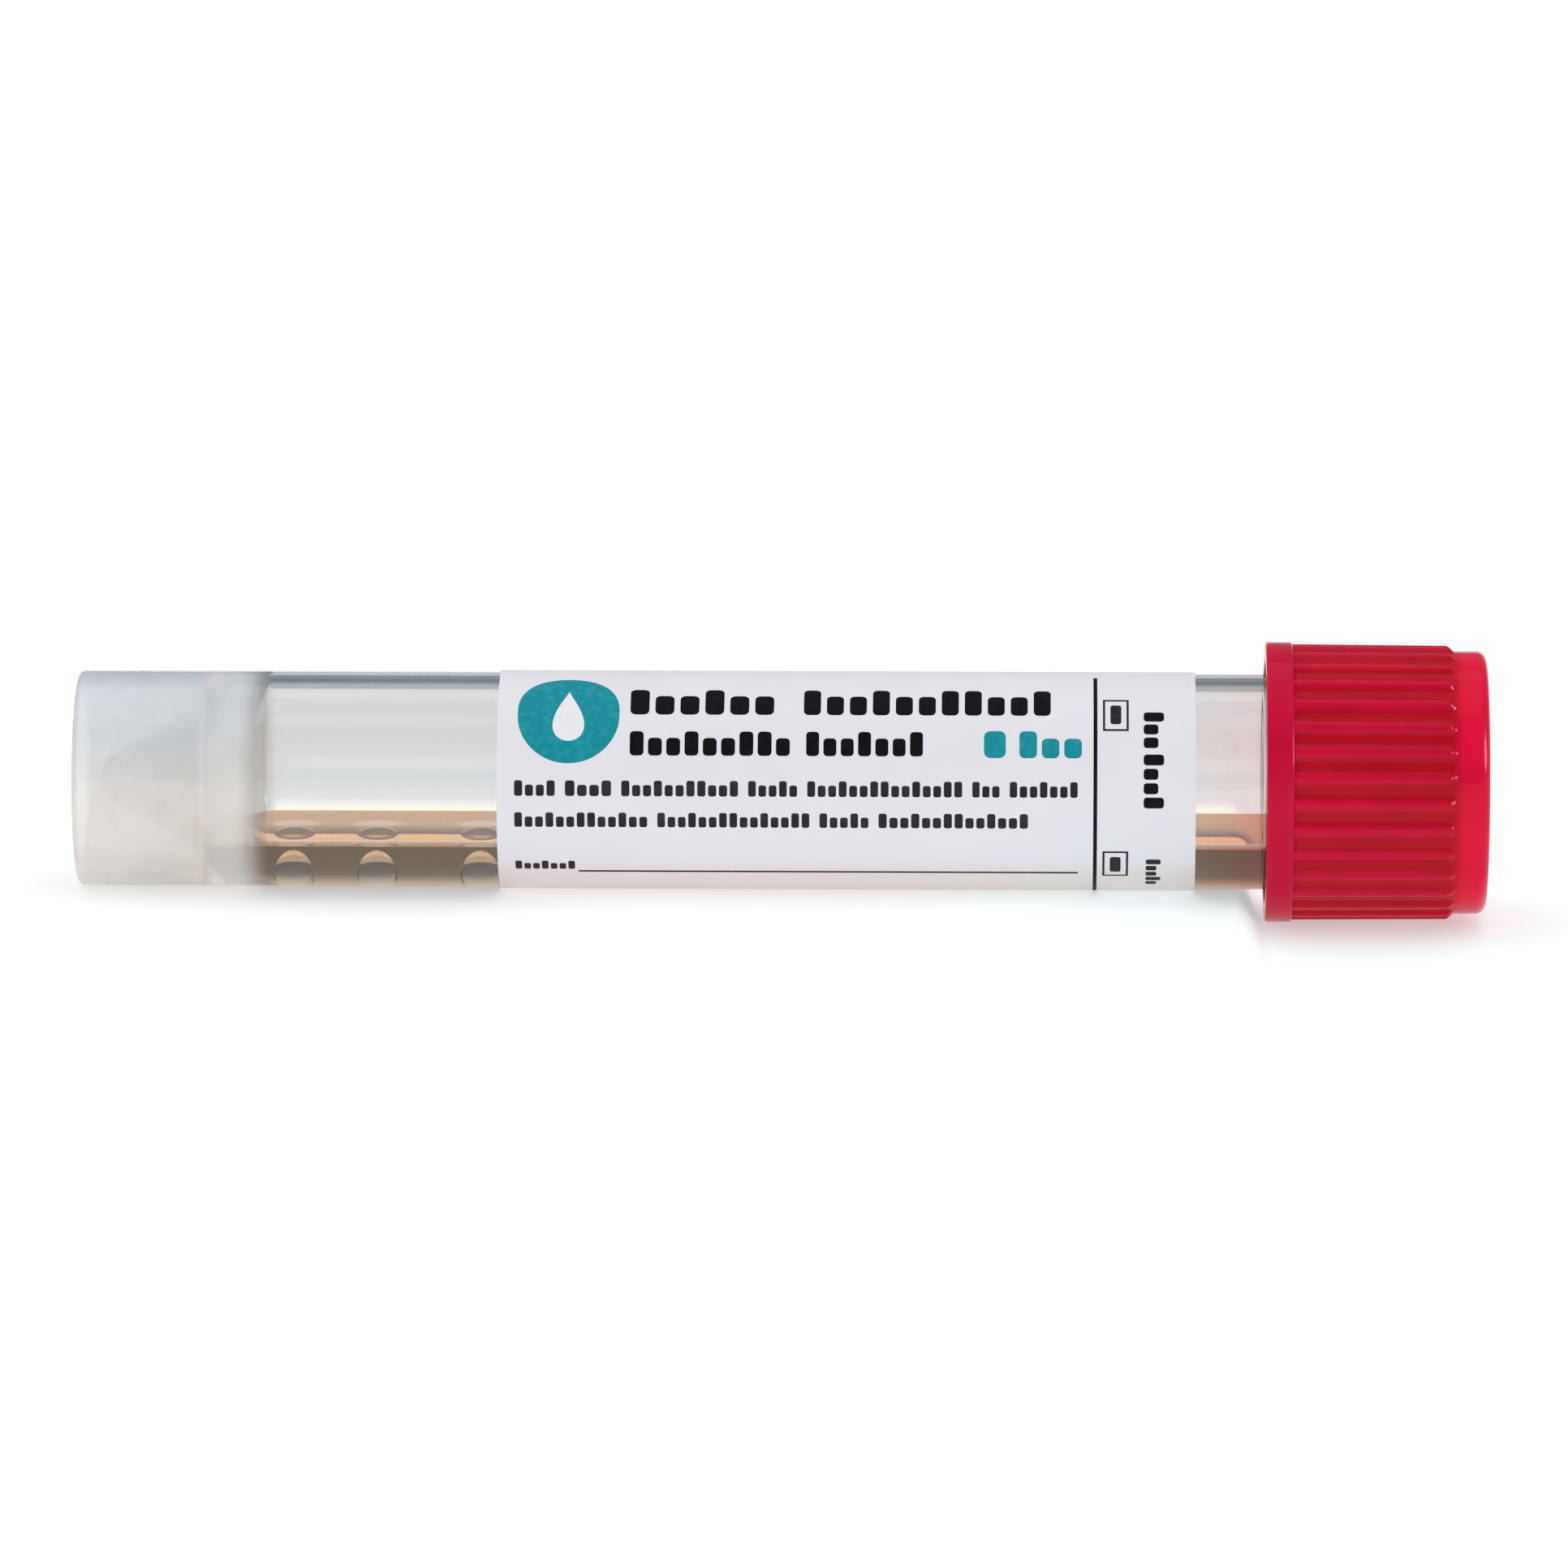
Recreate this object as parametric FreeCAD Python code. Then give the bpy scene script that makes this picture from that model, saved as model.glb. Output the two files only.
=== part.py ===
import FreeCAD, Part
import math
import os

from FreeCAD import Vector

# A 16 x 100 mm specimen tube with a screw cap, lying on its side.
# The axis runs along X: X = 0 is the open end of the skirt that the tube can stand on,
# and the cap is at the far end. Z is up, so the liquid and the beads lie at low Z.
# All sizes are in millimetres and degrees.

# Tube
TUBE_LENGTH = 100.0
TUBE_DIAMETER = 16.0
TUBE_WALL = 0.95
CONE_TOP = 13.9  # where the bore begins to narrow, from the skirt's edge
CONE_HALF_ANGLE = 29.6
CONE_TIP_RADIUS = 0.9
SKIRT_WALL = 1.0
SKIRT_HOLLOW_DEPTH = 9.7
SKIRT_EDGE_RADIUS = 0.45
EDGE_RADIUS = 0.2

# Threaded neck
NECK_STEP = 0.2  # how much the neck's radius is under the tube's
THREAD_LEAD = 3.0
THREAD_HEIGHT = 0.95
THREAD_ROOT_WIDTH = 1.6
THREAD_CREST_WIDTH = 1.0
THREAD_CLEARANCE = 0.3
NECK_THREAD_TURNS = 2.5
CAP_THREAD_TURNS = 1.5
NECK_THREAD_END = 1.8  # from the last turn's middle to the rim
RIDGE_SINK = 0.3  # how deep a thread ridge is rooted in its wall

# Screw cap
CAP_HEIGHT = 16.4
CAP_WALL = 0.9  # between the ribs
RIB_COUNT = 32
RIB_RELIEF = 0.3
RIB_DRAFT = 0.1  # how much the ribbed wall draws in towards its far end
RIB_WIDTH_SHARE = 0.62  # of the spacing between ribs
RIB_END_RADIUS = 0.4
BAND_LENGTH = 1.7
BAND_RELIEF = 0.15  # the band's height over the ribs
RIM_LENGTH = 2.7
RIM_STEP = 0.5  # how much the rim's radius is under the ribs'
RIM_WALL = 1.75
RIM_CORNER_RADIUS = 0.75
RECESS_DEPTH = 1.5
TOP_PLATE = 1.8
MOUTH_GAP = 0.1  # between the neck's shoulder and the cap's mouth
PLUG_LENGTH = 4.2
PLUG_WALL = 1.0
PLUG_FIT = 0.1

# Seal ring
SEAL_THICKNESS = 1.0
SEAL_OVERHANG = 0.7  # how far it reaches out past the neck
SEAL_GAP = 0.1

# Label
LABEL_START = 31.4
LABEL_LENGTH = 51.5
LABEL_THICKNESS = 0.1
LABEL_GAP = 0.02
LABEL_WRAP = 315.0  # the bare strip is at the back

# Contents
FILL_DEPTH = 3.25  # at the tube's lowest line
LIQUID_GAP = 0.05
LIQUID_END_GAP = 0.3
BEAD_DIAMETER = 3.0
BEAD_DISTANCES = (2.1, 8.3, 16.0)  # from the top of the cone

# Worked out from the sizes above
TUBE_RADIUS = TUBE_DIAMETER / 2
BORE_RADIUS = TUBE_RADIUS - TUBE_WALL
SKIRT_BORE_RADIUS = TUBE_RADIUS - SKIRT_WALL
NECK_RADIUS = TUBE_RADIUS - NECK_STEP
CAP_CEILING = TUBE_LENGTH + SEAL_THICKNESS + 2 * SEAL_GAP
RECESS_FLOOR = CAP_CEILING + TOP_PLATE
CAP_TOP = RECESS_FLOOR + RECESS_DEPTH
CAP_MOUTH = CAP_TOP - CAP_HEIGHT
BAND_TOP = CAP_MOUTH + BAND_LENGTH
RIBS_TOP = CAP_TOP - RIM_LENGTH
NECK_START = CAP_MOUTH - MOUTH_GAP
CAP_BORE_RADIUS = NECK_RADIUS + THREAD_HEIGHT + THREAD_CLEARANCE
RIB_RADIUS = CAP_BORE_RADIUS + CAP_WALL + RIB_RELIEF
RIB_END_CREST_RADIUS = RIB_RADIUS - RIB_DRAFT
BAND_RADIUS = RIB_RADIUS + BAND_RELIEF
RIM_RADIUS = RIB_RADIUS - RIM_STEP
PLUG_RADIUS = BORE_RADIUS - PLUG_FIT
PLUG_END = CAP_CEILING - PLUG_LENGTH
NECK_THREAD_START = TUBE_LENGTH - NECK_THREAD_END - NECK_THREAD_TURNS * THREAD_LEAD
CAP_THREAD_START = NECK_THREAD_START + THREAD_LEAD / 2
FILL_LEVEL = FILL_DEPTH - BORE_RADIUS
BEAD_PLACES = [CONE_TOP + distance for distance in BEAD_DISTANCES]

X_AXIS = Vector(1, 0, 0)
Y_AXIS = Vector(0, 1, 0)
ORIGIN = Vector(0, 0, 0)
BEYOND = 5.0  # how far a cutting tool runs past what it cuts


def rod(start, end, radius, end_radius=None):
    """A rod or cone frustum on the X axis."""
    if end_radius is None or end_radius == radius:
        return Part.makeCylinder(radius, end - start, Vector(start, 0, 0), X_AXIS)
    return Part.makeCone(radius, end_radius, end - start, Vector(start, 0, 0), X_AXIS)


def pipe(start, end, inner_radius, outer_radius):
    """A pipe on the X axis."""
    return rod(start, end, outer_radius).cut(rod(start, end, inner_radius))


def rounded(shape, radius, places):
    """The shape with the circular edges at the places, each (x, radius), rounded."""

    def is_at(edge, x, r):
        points = [edge.valueAt(edge.FirstParameter), edge.valueAt(edge.LastParameter)]
        return all(abs(p.x - x) < 1e-4 and abs(math.hypot(p.y, p.z) - r) < 1e-4 for p in points)

    edges = [edge for edge in shape.Edges if any(is_at(edge, x, r) for x, r in places)]
    return shape.makeFillet(radius, edges)


def bore_form(offset, end):
    """The bore's inside form, with its surface moved out by offset, from its round tip to end."""
    slope = math.radians(CONE_HALF_ANGLE)
    apex = CONE_TOP - BORE_RADIUS / math.tan(slope) - offset / math.sin(slope)
    radius = BORE_RADIUS + offset
    tip_radius = CONE_TIP_RADIUS + offset
    tip_centre = apex + tip_radius / math.sin(slope)

    def on_tip(angle):
        return Vector(
            tip_centre - tip_radius * math.cos(angle), 0, tip_radius * math.sin(angle)
        )

    lowest = on_tip(0)
    last_on_tip = on_tip(math.pi / 2 - slope)
    corners = [
        last_on_tip,
        Vector(apex + radius / math.tan(slope), 0, radius),
        Vector(end, 0, radius),
        Vector(end, 0, 0),
        lowest,
    ]
    edges = [Part.Arc(lowest, on_tip((math.pi / 2 - slope) / 2), last_on_tip).toShape()]
    edges += [Part.makeLine(a, b) for a, b in zip(corners, corners[1:])]
    return Part.Face(Part.Wire(edges)).revolve(ORIGIN, X_AXIS, 360)


def thread_ridge(start, turns, root_radius, crest_radius):
    """One right-hand thread ridge. Its crest may stand out from its root or in from it."""
    sink = math.copysign(RIDGE_SINK, root_radius - crest_radius)
    root = root_radius + sink
    flank = (THREAD_ROOT_WIDTH - THREAD_CREST_WIDTH) / 2 / abs(crest_radius - root_radius)
    half_root = THREAD_ROOT_WIDTH / 2 + RIDGE_SINK * flank
    half_crest = THREAD_CREST_WIDTH / 2
    profile = Part.makePolygon(
        [
            Vector(root, 0, -half_root),
            Vector(crest_radius, 0, -half_crest),
            Vector(crest_radius, 0, half_crest),
            Vector(root, 0, half_root),
            Vector(root, 0, -half_root),
        ]
    )
    helix = Part.makeHelix(THREAD_LEAD, turns * THREAD_LEAD, root)
    ridge = Part.Wire(helix).makePipeShell([profile], True, True)
    ridge.rotate(ORIGIN, Y_AXIS, 90)
    ridge.translate(Vector(start, 0, 0))
    return ridge


def make_tube():
    """The clear tube, with its bore, conical floor, skirt and threaded neck."""
    tube = rod(0, NECK_START, TUBE_RADIUS).fuse(rod(NECK_START, TUBE_LENGTH, NECK_RADIUS))
    tube = tube.cut(bore_form(0, TUBE_LENGTH + BEYOND))
    around_cone = rod(-BEYOND, SKIRT_HOLLOW_DEPTH, SKIRT_BORE_RADIUS)
    tube = tube.cut(around_cone.cut(bore_form(TUBE_WALL, TUBE_LENGTH)))
    tube = rounded(tube.removeSplitter(), SKIRT_EDGE_RADIUS, [(0, TUBE_RADIUS)])
    tube = rounded(
        tube,
        EDGE_RADIUS,
        [(0, SKIRT_BORE_RADIUS), (TUBE_LENGTH, NECK_RADIUS), (TUBE_LENGTH, BORE_RADIUS)],
    )
    ridge = thread_ridge(
        NECK_THREAD_START, NECK_THREAD_TURNS, NECK_RADIUS, NECK_RADIUS + THREAD_HEIGHT
    )
    return tube.fuse(ridge)


def rib_section(x, crest_radius):
    """The ribbed outline at x: a round-topped bump for each rib, with plain arcs between."""
    root_radius = crest_radius - RIB_RELIEF
    step = 2 * math.pi / RIB_COUNT
    half_rib = step * RIB_WIDTH_SHARE / 2

    def at(radius, angle):
        return Vector(x, radius * math.sin(angle), radius * math.cos(angle))

    edges = []
    for n in range(RIB_COUNT):
        middle = n * step
        first, last, following = middle - half_rib, middle + half_rib, middle + step - half_rib
        edges.append(
            Part.Arc(
                at(root_radius, first), at(crest_radius, middle), at(root_radius, last)
            ).toShape()
        )
        edges.append(
            Part.Arc(
                at(root_radius, last),
                at(root_radius, (last + following) / 2),
                at(root_radius, following),
            ).toShape()
        )
    return Part.Wire(edges)


def make_screw_cap():
    """The cap: plain band, ribs, smooth rim round a recess, plug and inner thread."""
    ribs = Part.makeLoft(
        [
            rib_section(CAP_MOUTH, RIB_RADIUS),
            rib_section(RIBS_TOP, RIB_END_CREST_RADIUS),
        ],
        True,
        True,
    )
    ribs = ribs.common(
        rounded(
            rod(CAP_MOUTH, RIBS_TOP, RIB_RADIUS, RIB_END_CREST_RADIUS),
            RIB_END_RADIUS,
            [(RIBS_TOP, RIB_END_CREST_RADIUS)],
        )
    )
    band = rounded(
        rod(CAP_MOUTH, BAND_TOP, BAND_RADIUS),
        EDGE_RADIUS,
        [(CAP_MOUTH, BAND_RADIUS)],
    )
    rim = rounded(
        rod(RIBS_TOP - BEYOND, CAP_TOP, RIM_RADIUS),
        RIM_CORNER_RADIUS,
        [(CAP_TOP, RIM_RADIUS)],
    )
    cap = ribs.fuse([band, rim])
    cap = cap.cut(rod(CAP_MOUTH - BEYOND, CAP_CEILING, CAP_BORE_RADIUS))
    cap = cap.cut(rod(RECESS_FLOOR, CAP_TOP + BEYOND, RIM_RADIUS - RIM_WALL))
    plug = pipe(PLUG_END, RECESS_FLOOR, PLUG_RADIUS - PLUG_WALL, PLUG_RADIUS)
    ridge = thread_ridge(
        CAP_THREAD_START, CAP_THREAD_TURNS, CAP_BORE_RADIUS, CAP_BORE_RADIUS - THREAD_HEIGHT
    )
    return cap.fuse([plug, ridge])


def make_seal_ring():
    """The flat elastomer ring between the tube's rim and the cap's ceiling."""
    start = TUBE_LENGTH + SEAL_GAP
    return pipe(start, start + SEAL_THICKNESS, BORE_RADIUS, NECK_RADIUS + SEAL_OVERHANG)


def make_label():
    """The paper label, wrapped round the tube with a bare strip at the back."""
    inner_radius = TUBE_RADIUS + LABEL_GAP
    outline = Part.makePolygon(
        [
            Vector(LABEL_START, inner_radius, 0),
            Vector(LABEL_START + LABEL_LENGTH, inner_radius, 0),
            Vector(LABEL_START + LABEL_LENGTH, inner_radius + LABEL_THICKNESS, 0),
            Vector(LABEL_START, inner_radius + LABEL_THICKNESS, 0),
            Vector(LABEL_START, inner_radius, 0),
        ]
    )
    label = Part.Face(outline).revolve(ORIGIN, X_AXIS, LABEL_WRAP)
    label.rotate(ORIGIN, X_AXIS, (360 - LABEL_WRAP) / 2)
    return label


def make_bead(x, gap=0.0):
    """A glass bead that lies on the tube's lowest line, grown by gap."""
    radius = BEAD_DIAMETER / 2
    height = radius + LIQUID_GAP - BORE_RADIUS
    return Part.makeSphere(radius + gap, Vector(x, 0, height))


def make_medium():
    """The liquid, as it lies along the tube, with room for the beads."""
    end = PLUG_END - LIQUID_END_GAP
    below_level = Part.makeBox(
        end, TUBE_DIAMETER, TUBE_DIAMETER, Vector(0, -TUBE_RADIUS, FILL_LEVEL - TUBE_DIAMETER)
    )
    medium = bore_form(-LIQUID_GAP, end).common(below_level)
    return medium.cut([make_bead(x, LIQUID_GAP) for x in BEAD_PLACES])


def make_pieces():
    """Every piece of the tube by its node's name."""
    pieces = {
        "tube": make_tube(),
        "screw_cap": make_screw_cap(),
        "cap_seal_ring": make_seal_ring(),
        "label": make_label(),
        "transport_medium": make_medium(),
    }
    for number, x in enumerate(BEAD_PLACES, start=1):
        pieces[f"glass_bead_{number}"] = make_bead(x)
    return pieces


os.makedirs("parts", exist_ok=True)
for name, shape in make_pieces().items():
    shape.exportStep(f"parts/{name}.step")
    box = shape.BoundBox
    print(
        f"{name}: {len(shape.Solids)} solid, valid {shape.isValid()}, {shape.Volume:.1f} mm3,"
        f" x {box.XMin:.2f} to {box.XMax:.2f}, z {box.ZMin:.2f} to {box.ZMax:.2f}"
    )
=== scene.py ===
"""Looks of a 16 x 100 mm specimen tube with a screw cap, lying on its side.

The tube's axis runs along X, from the open end of its skirt to its cap, and Z is up.
Meshes are drawn in millimetres and become metres when they are finished.
"""

import logging
import math
from collections.abc import Callable, Mapping, Sequence
from dataclasses import dataclass, field
from enum import Enum

import bmesh
import bpy
from mathutils import Matrix, Vector


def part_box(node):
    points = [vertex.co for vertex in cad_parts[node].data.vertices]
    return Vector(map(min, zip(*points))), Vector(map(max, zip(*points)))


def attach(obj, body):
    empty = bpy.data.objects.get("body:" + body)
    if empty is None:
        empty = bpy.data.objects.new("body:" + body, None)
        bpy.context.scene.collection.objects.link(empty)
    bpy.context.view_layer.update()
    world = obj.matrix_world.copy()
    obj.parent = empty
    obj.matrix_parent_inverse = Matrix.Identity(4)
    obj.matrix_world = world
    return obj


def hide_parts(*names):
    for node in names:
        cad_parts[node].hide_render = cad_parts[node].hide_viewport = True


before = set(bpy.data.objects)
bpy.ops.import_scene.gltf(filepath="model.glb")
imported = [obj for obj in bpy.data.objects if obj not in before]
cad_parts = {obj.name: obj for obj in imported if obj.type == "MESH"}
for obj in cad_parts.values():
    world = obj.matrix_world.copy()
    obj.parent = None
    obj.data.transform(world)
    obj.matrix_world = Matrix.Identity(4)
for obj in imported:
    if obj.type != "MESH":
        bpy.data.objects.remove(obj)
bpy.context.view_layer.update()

LOG = logging.getLogger("specimen_tube")
MM = 0.001
SAME_PLACE = 1e-5  # points this near to each other or to a cut are one, in millimetres
ON_WALL = 0.01  # how far from a wall a point may be and still lie on it, in millimetres
ROUNDING_STEP = 12.0  # the turn from one row of a rounding to the next, in degrees
NOISE_LOW, NOISE_HIGH = 0.3, 0.7  # where most of a noise's values lie
ORIGIN = Vector((0.0, 0.0, 0.0))
X_AXIS = Vector((1.0, 0.0, 0.0))
Y_AXIS = Vector((0.0, 1.0, 0.0))
Z_AXIS = Vector((0.0, 0.0, 1.0))

Colour = tuple[float, float, float, float]
Patch = tuple[tuple[float, float], tuple[float, float]]  # a middle and a size on the label


class Body(Enum):
    """The bodies that pieces ride on."""

    TUBE = "tube_body"
    SEAL = "seal_body"
    CAP = "cap_body"


class Slot(Enum):
    """Names of the material slots for the pieces, which are passed on but not used."""

    TUBE = "clear_plastic"
    CAP = "red_plastic"
    SEAL = "seal_rubber"
    LABEL = "label_paper"
    MEDIUM = "medium"
    BEAD = "bead_glass"


class Ink(Enum):
    """The label's inks."""

    BLACK = 1
    GREY = 2
    TEAL = 3
    WHITE = 4


def linear(hex_colour: str) -> Colour:
    """Turns a colour as written for a screen into the light values that shaders use.

    Args:
        hex_colour: Six hexadecimal digits, red first.

    Returns:
        Red, green, blue and an alpha of 1.
    """
    parts = [int(hex_colour[i : i + 2], 16) / 255 for i in (0, 2, 4)]
    light = [p / 12.92 if p <= 0.04045 else ((p + 0.055) / 1.055) ** 2.4 for p in parts]
    return (light[0], light[1], light[2], 1.0)


def clamp(value: float) -> float:
    """Returns the value kept between 0 and 1."""
    return min(max(value, 0.0), 1.0)


def smooth_step(value: float) -> float:
    """Returns 0 below 0 and 1 above 1, with a soft rise between."""
    share = clamp(value)
    return share * share * (3 - 2 * share)


def cad_span(node: str) -> tuple[Vector, Vector]:
    """Gives the box of a CAD node in millimetres.

    Args:
        node: The node's name.

    Returns:
        Its lowest and highest corners.
    """
    low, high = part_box(node)
    return low / MM, high / MM


def add_node(
    tree: bpy.types.NodeTree,
    kind: str,
    settings: Mapping[str, object] | None = None,
    inputs: Mapping[str | int, object] | None = None,
) -> bpy.types.Node:
    """Adds a node with its settings, its values and its links.

    Args:
        tree: The tree that gets the node.
        kind: The node's type.
        settings: Values for the node's own properties.
        inputs: For each input, a value or the output that is linked to it.

    Returns:
        The node.
    """
    node = tree.nodes.new(kind)
    for name, value in (settings or {}).items():
        setattr(node, name, value)
    for name, value in (inputs or {}).items():
        if isinstance(value, bpy.types.NodeSocket):
            tree.links.new(value, node.inputs[name])
        else:
            node.inputs[name].default_value = value
    return node


def new_material(name: str) -> tuple[bpy.types.Material, bpy.types.NodeTree]:
    """Starts a material with an empty node tree.

    Args:
        name: The real material's name.

    Returns:
        The material and its tree.
    """
    material = bpy.data.materials.new(name)
    material.use_nodes = True
    material.node_tree.nodes.clear()
    return material, material.node_tree


# Turned meshes


@dataclass(frozen=True)
class Corner:
    """A corner of an outline that is turned round the tube's axis.

    Its rounding is a radius, and rows are extra points on the way to the next corner.
    """

    x: float
    radius: float
    rounding: float = 0.0
    rows: int = 0

    @property
    def point(self) -> Vector:
        """Where the corner is, with the outline drawn upwards from the axis."""
        return Vector((self.x, 0.0, self.radius))


def round_corner(mesh: bmesh.types.BMesh, before: Corner, corner: Corner, after: Corner) -> None:
    """Rounds one corner of an outline.

    Args:
        mesh: The mesh that holds the outline.
        before: The corner before it.
        corner: The corner.
        after: The corner after it.
    """
    turn = (corner.point - before.point).angle(after.point - corner.point)
    vertex = min(mesh.verts, key=lambda v: (v.co - corner.point).length)
    bmesh.ops.bevel(
        mesh,
        geom=[vertex],
        offset=corner.rounding * math.tan(turn / 2),
        offset_type="OFFSET",
        segments=max(2, round(math.degrees(turn) / ROUNDING_STEP)),
        profile=0.5,
        affect="VERTICES",
        clamp_overlap=False,
        material=-1,
    )


def guard_edges(mesh: bmesh.types.BMesh, margin: float = 0.12, longest: float = 1.0) -> None:
    """Adds a point near both ends of an outline's long edges, so a rounding shades only itself.

    Args:
        mesh: The mesh that holds the outline.
        margin: How far the points are from the ends.
        longest: Edges up to this length stay as they are.
    """
    for edge in [edge for edge in mesh.edges if edge.calc_length() > longest]:
        for end in edge.verts[:]:
            bmesh.utils.edge_split(edge, end, margin / edge.calc_length())


def draw_outline(corners: Sequence[Corner], closed: bool) -> bmesh.types.BMesh:
    """Draws an outline, with its extra rows and its rounded corners.

    Args:
        corners: The outline's corners in order.
        closed: Whether the last corner joins the first.

    Returns:
        The mesh, in millimetres.
    """
    mesh = bmesh.new()
    vertices = [mesh.verts.new(corner.point) for corner in corners]
    following = vertices[1:] + vertices[:1] if closed else vertices[1:]
    edges = [mesh.edges.new(pair) for pair in zip(vertices, following)]
    rows = {corner.rows for corner in corners if corner.rows}
    for count in rows:
        chosen = [edge for edge, corner in zip(edges, corners) if corner.rows == count]
        bmesh.ops.subdivide_edges(mesh, edges=chosen, cuts=count)
    for i, corner in enumerate(corners):
        if corner.rounding:
            after = corners[(i + 1) % len(corners)]
            round_corner(mesh, corners[i - 1], corner, after)
    guard_edges(mesh)
    return mesh


def turned(
    corners: Sequence[Corner], steps: int, closed: bool = False, arc: float = 360.0
) -> bmesh.types.BMesh:
    """Turns an outline round the tube's axis.

    Args:
        corners: The outline's corners in order.
        steps: How many steps the turn has.
        closed: Whether the last corner joins the first.
        arc: How far it turns, in degrees.

    Returns:
        The mesh, in millimetres.
    """
    mesh = draw_outline(corners, closed)
    bmesh.ops.spin(
        mesh,
        geom=mesh.verts[:] + mesh.edges[:],
        cent=ORIGIN,
        axis=X_AXIS,
        dvec=ORIGIN,
        angle=math.radians(arc),
        steps=steps,
        use_merge=arc == 360.0,
        use_normal_flip=False,
        use_duplicate=False,
    )
    bmesh.ops.remove_doubles(mesh, verts=mesh.verts[:], dist=SAME_PLACE)
    bmesh.ops.recalc_face_normals(mesh, faces=mesh.faces[:])
    return mesh


def axis_distance(point: Vector) -> float:
    """Returns how far a point is from the tube's axis."""
    return math.hypot(point.y, point.z)


def shift_outwards(
    mesh: bmesh.types.BMesh, chosen: Callable[[Vector], bool], new_radius: Callable[[Vector], float]
) -> None:
    """Moves some of a mesh's vertices towards or away from the tube's axis.

    Args:
        mesh: The mesh.
        chosen: Whether the vertex at a point is moved.
        new_radius: How far from the axis the vertex at a point ends.
    """
    for vertex in mesh.verts:
        if chosen(vertex.co):
            scale = new_radius(vertex.co) / axis_distance(vertex.co)
            vertex.co.y *= scale
            vertex.co.z *= scale


def finish_mesh(
    mesh: bmesh.types.BMesh,
    name: str,
    materials: Sequence[bpy.types.Material],
    sharp_from: float = 35.0,
) -> bpy.types.Object:
    """Turns a mesh in millimetres into an object in metres.

    Args:
        mesh: The mesh, which is freed.
        name: The object's name.
        materials: Its materials, in the order of the faces' indices.
        sharp_from: The angle between faces past which an edge stays sharp, in degrees.

    Returns:
        The object, at the origin.
    """
    limit = math.radians(sharp_from)
    for face in mesh.faces:
        face.smooth = True
    for edge in mesh.edges:
        edge.smooth = edge.calc_face_angle(0.0) < limit
    bmesh.ops.scale(mesh, vec=Vector((MM, MM, MM)), verts=mesh.verts[:])
    data = bpy.data.meshes.new(name)
    mesh.to_mesh(data)
    mesh.free()
    for material in materials:
        data.materials.append(material)
    piece = bpy.data.objects.new(name, data)
    bpy.context.scene.collection.objects.link(piece)
    return piece


def hand_over(piece: bpy.types.Object, body: Body, slot: Slot, *nodes: str) -> None:
    """Puts a finished piece on its body, in place of the CAD nodes it stands for.

    Args:
        piece: The piece.
        body: The body it rides on.
        slot: The material slot it stands for; not used.
        nodes: The CAD nodes it replaces.
    """
    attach(piece, body.value)
    if nodes:
        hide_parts(*nodes)
    LOG.info("%s: %d faces, rides on %s", piece.name, len(piece.data.polygons), body.value)


# Finishes


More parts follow.
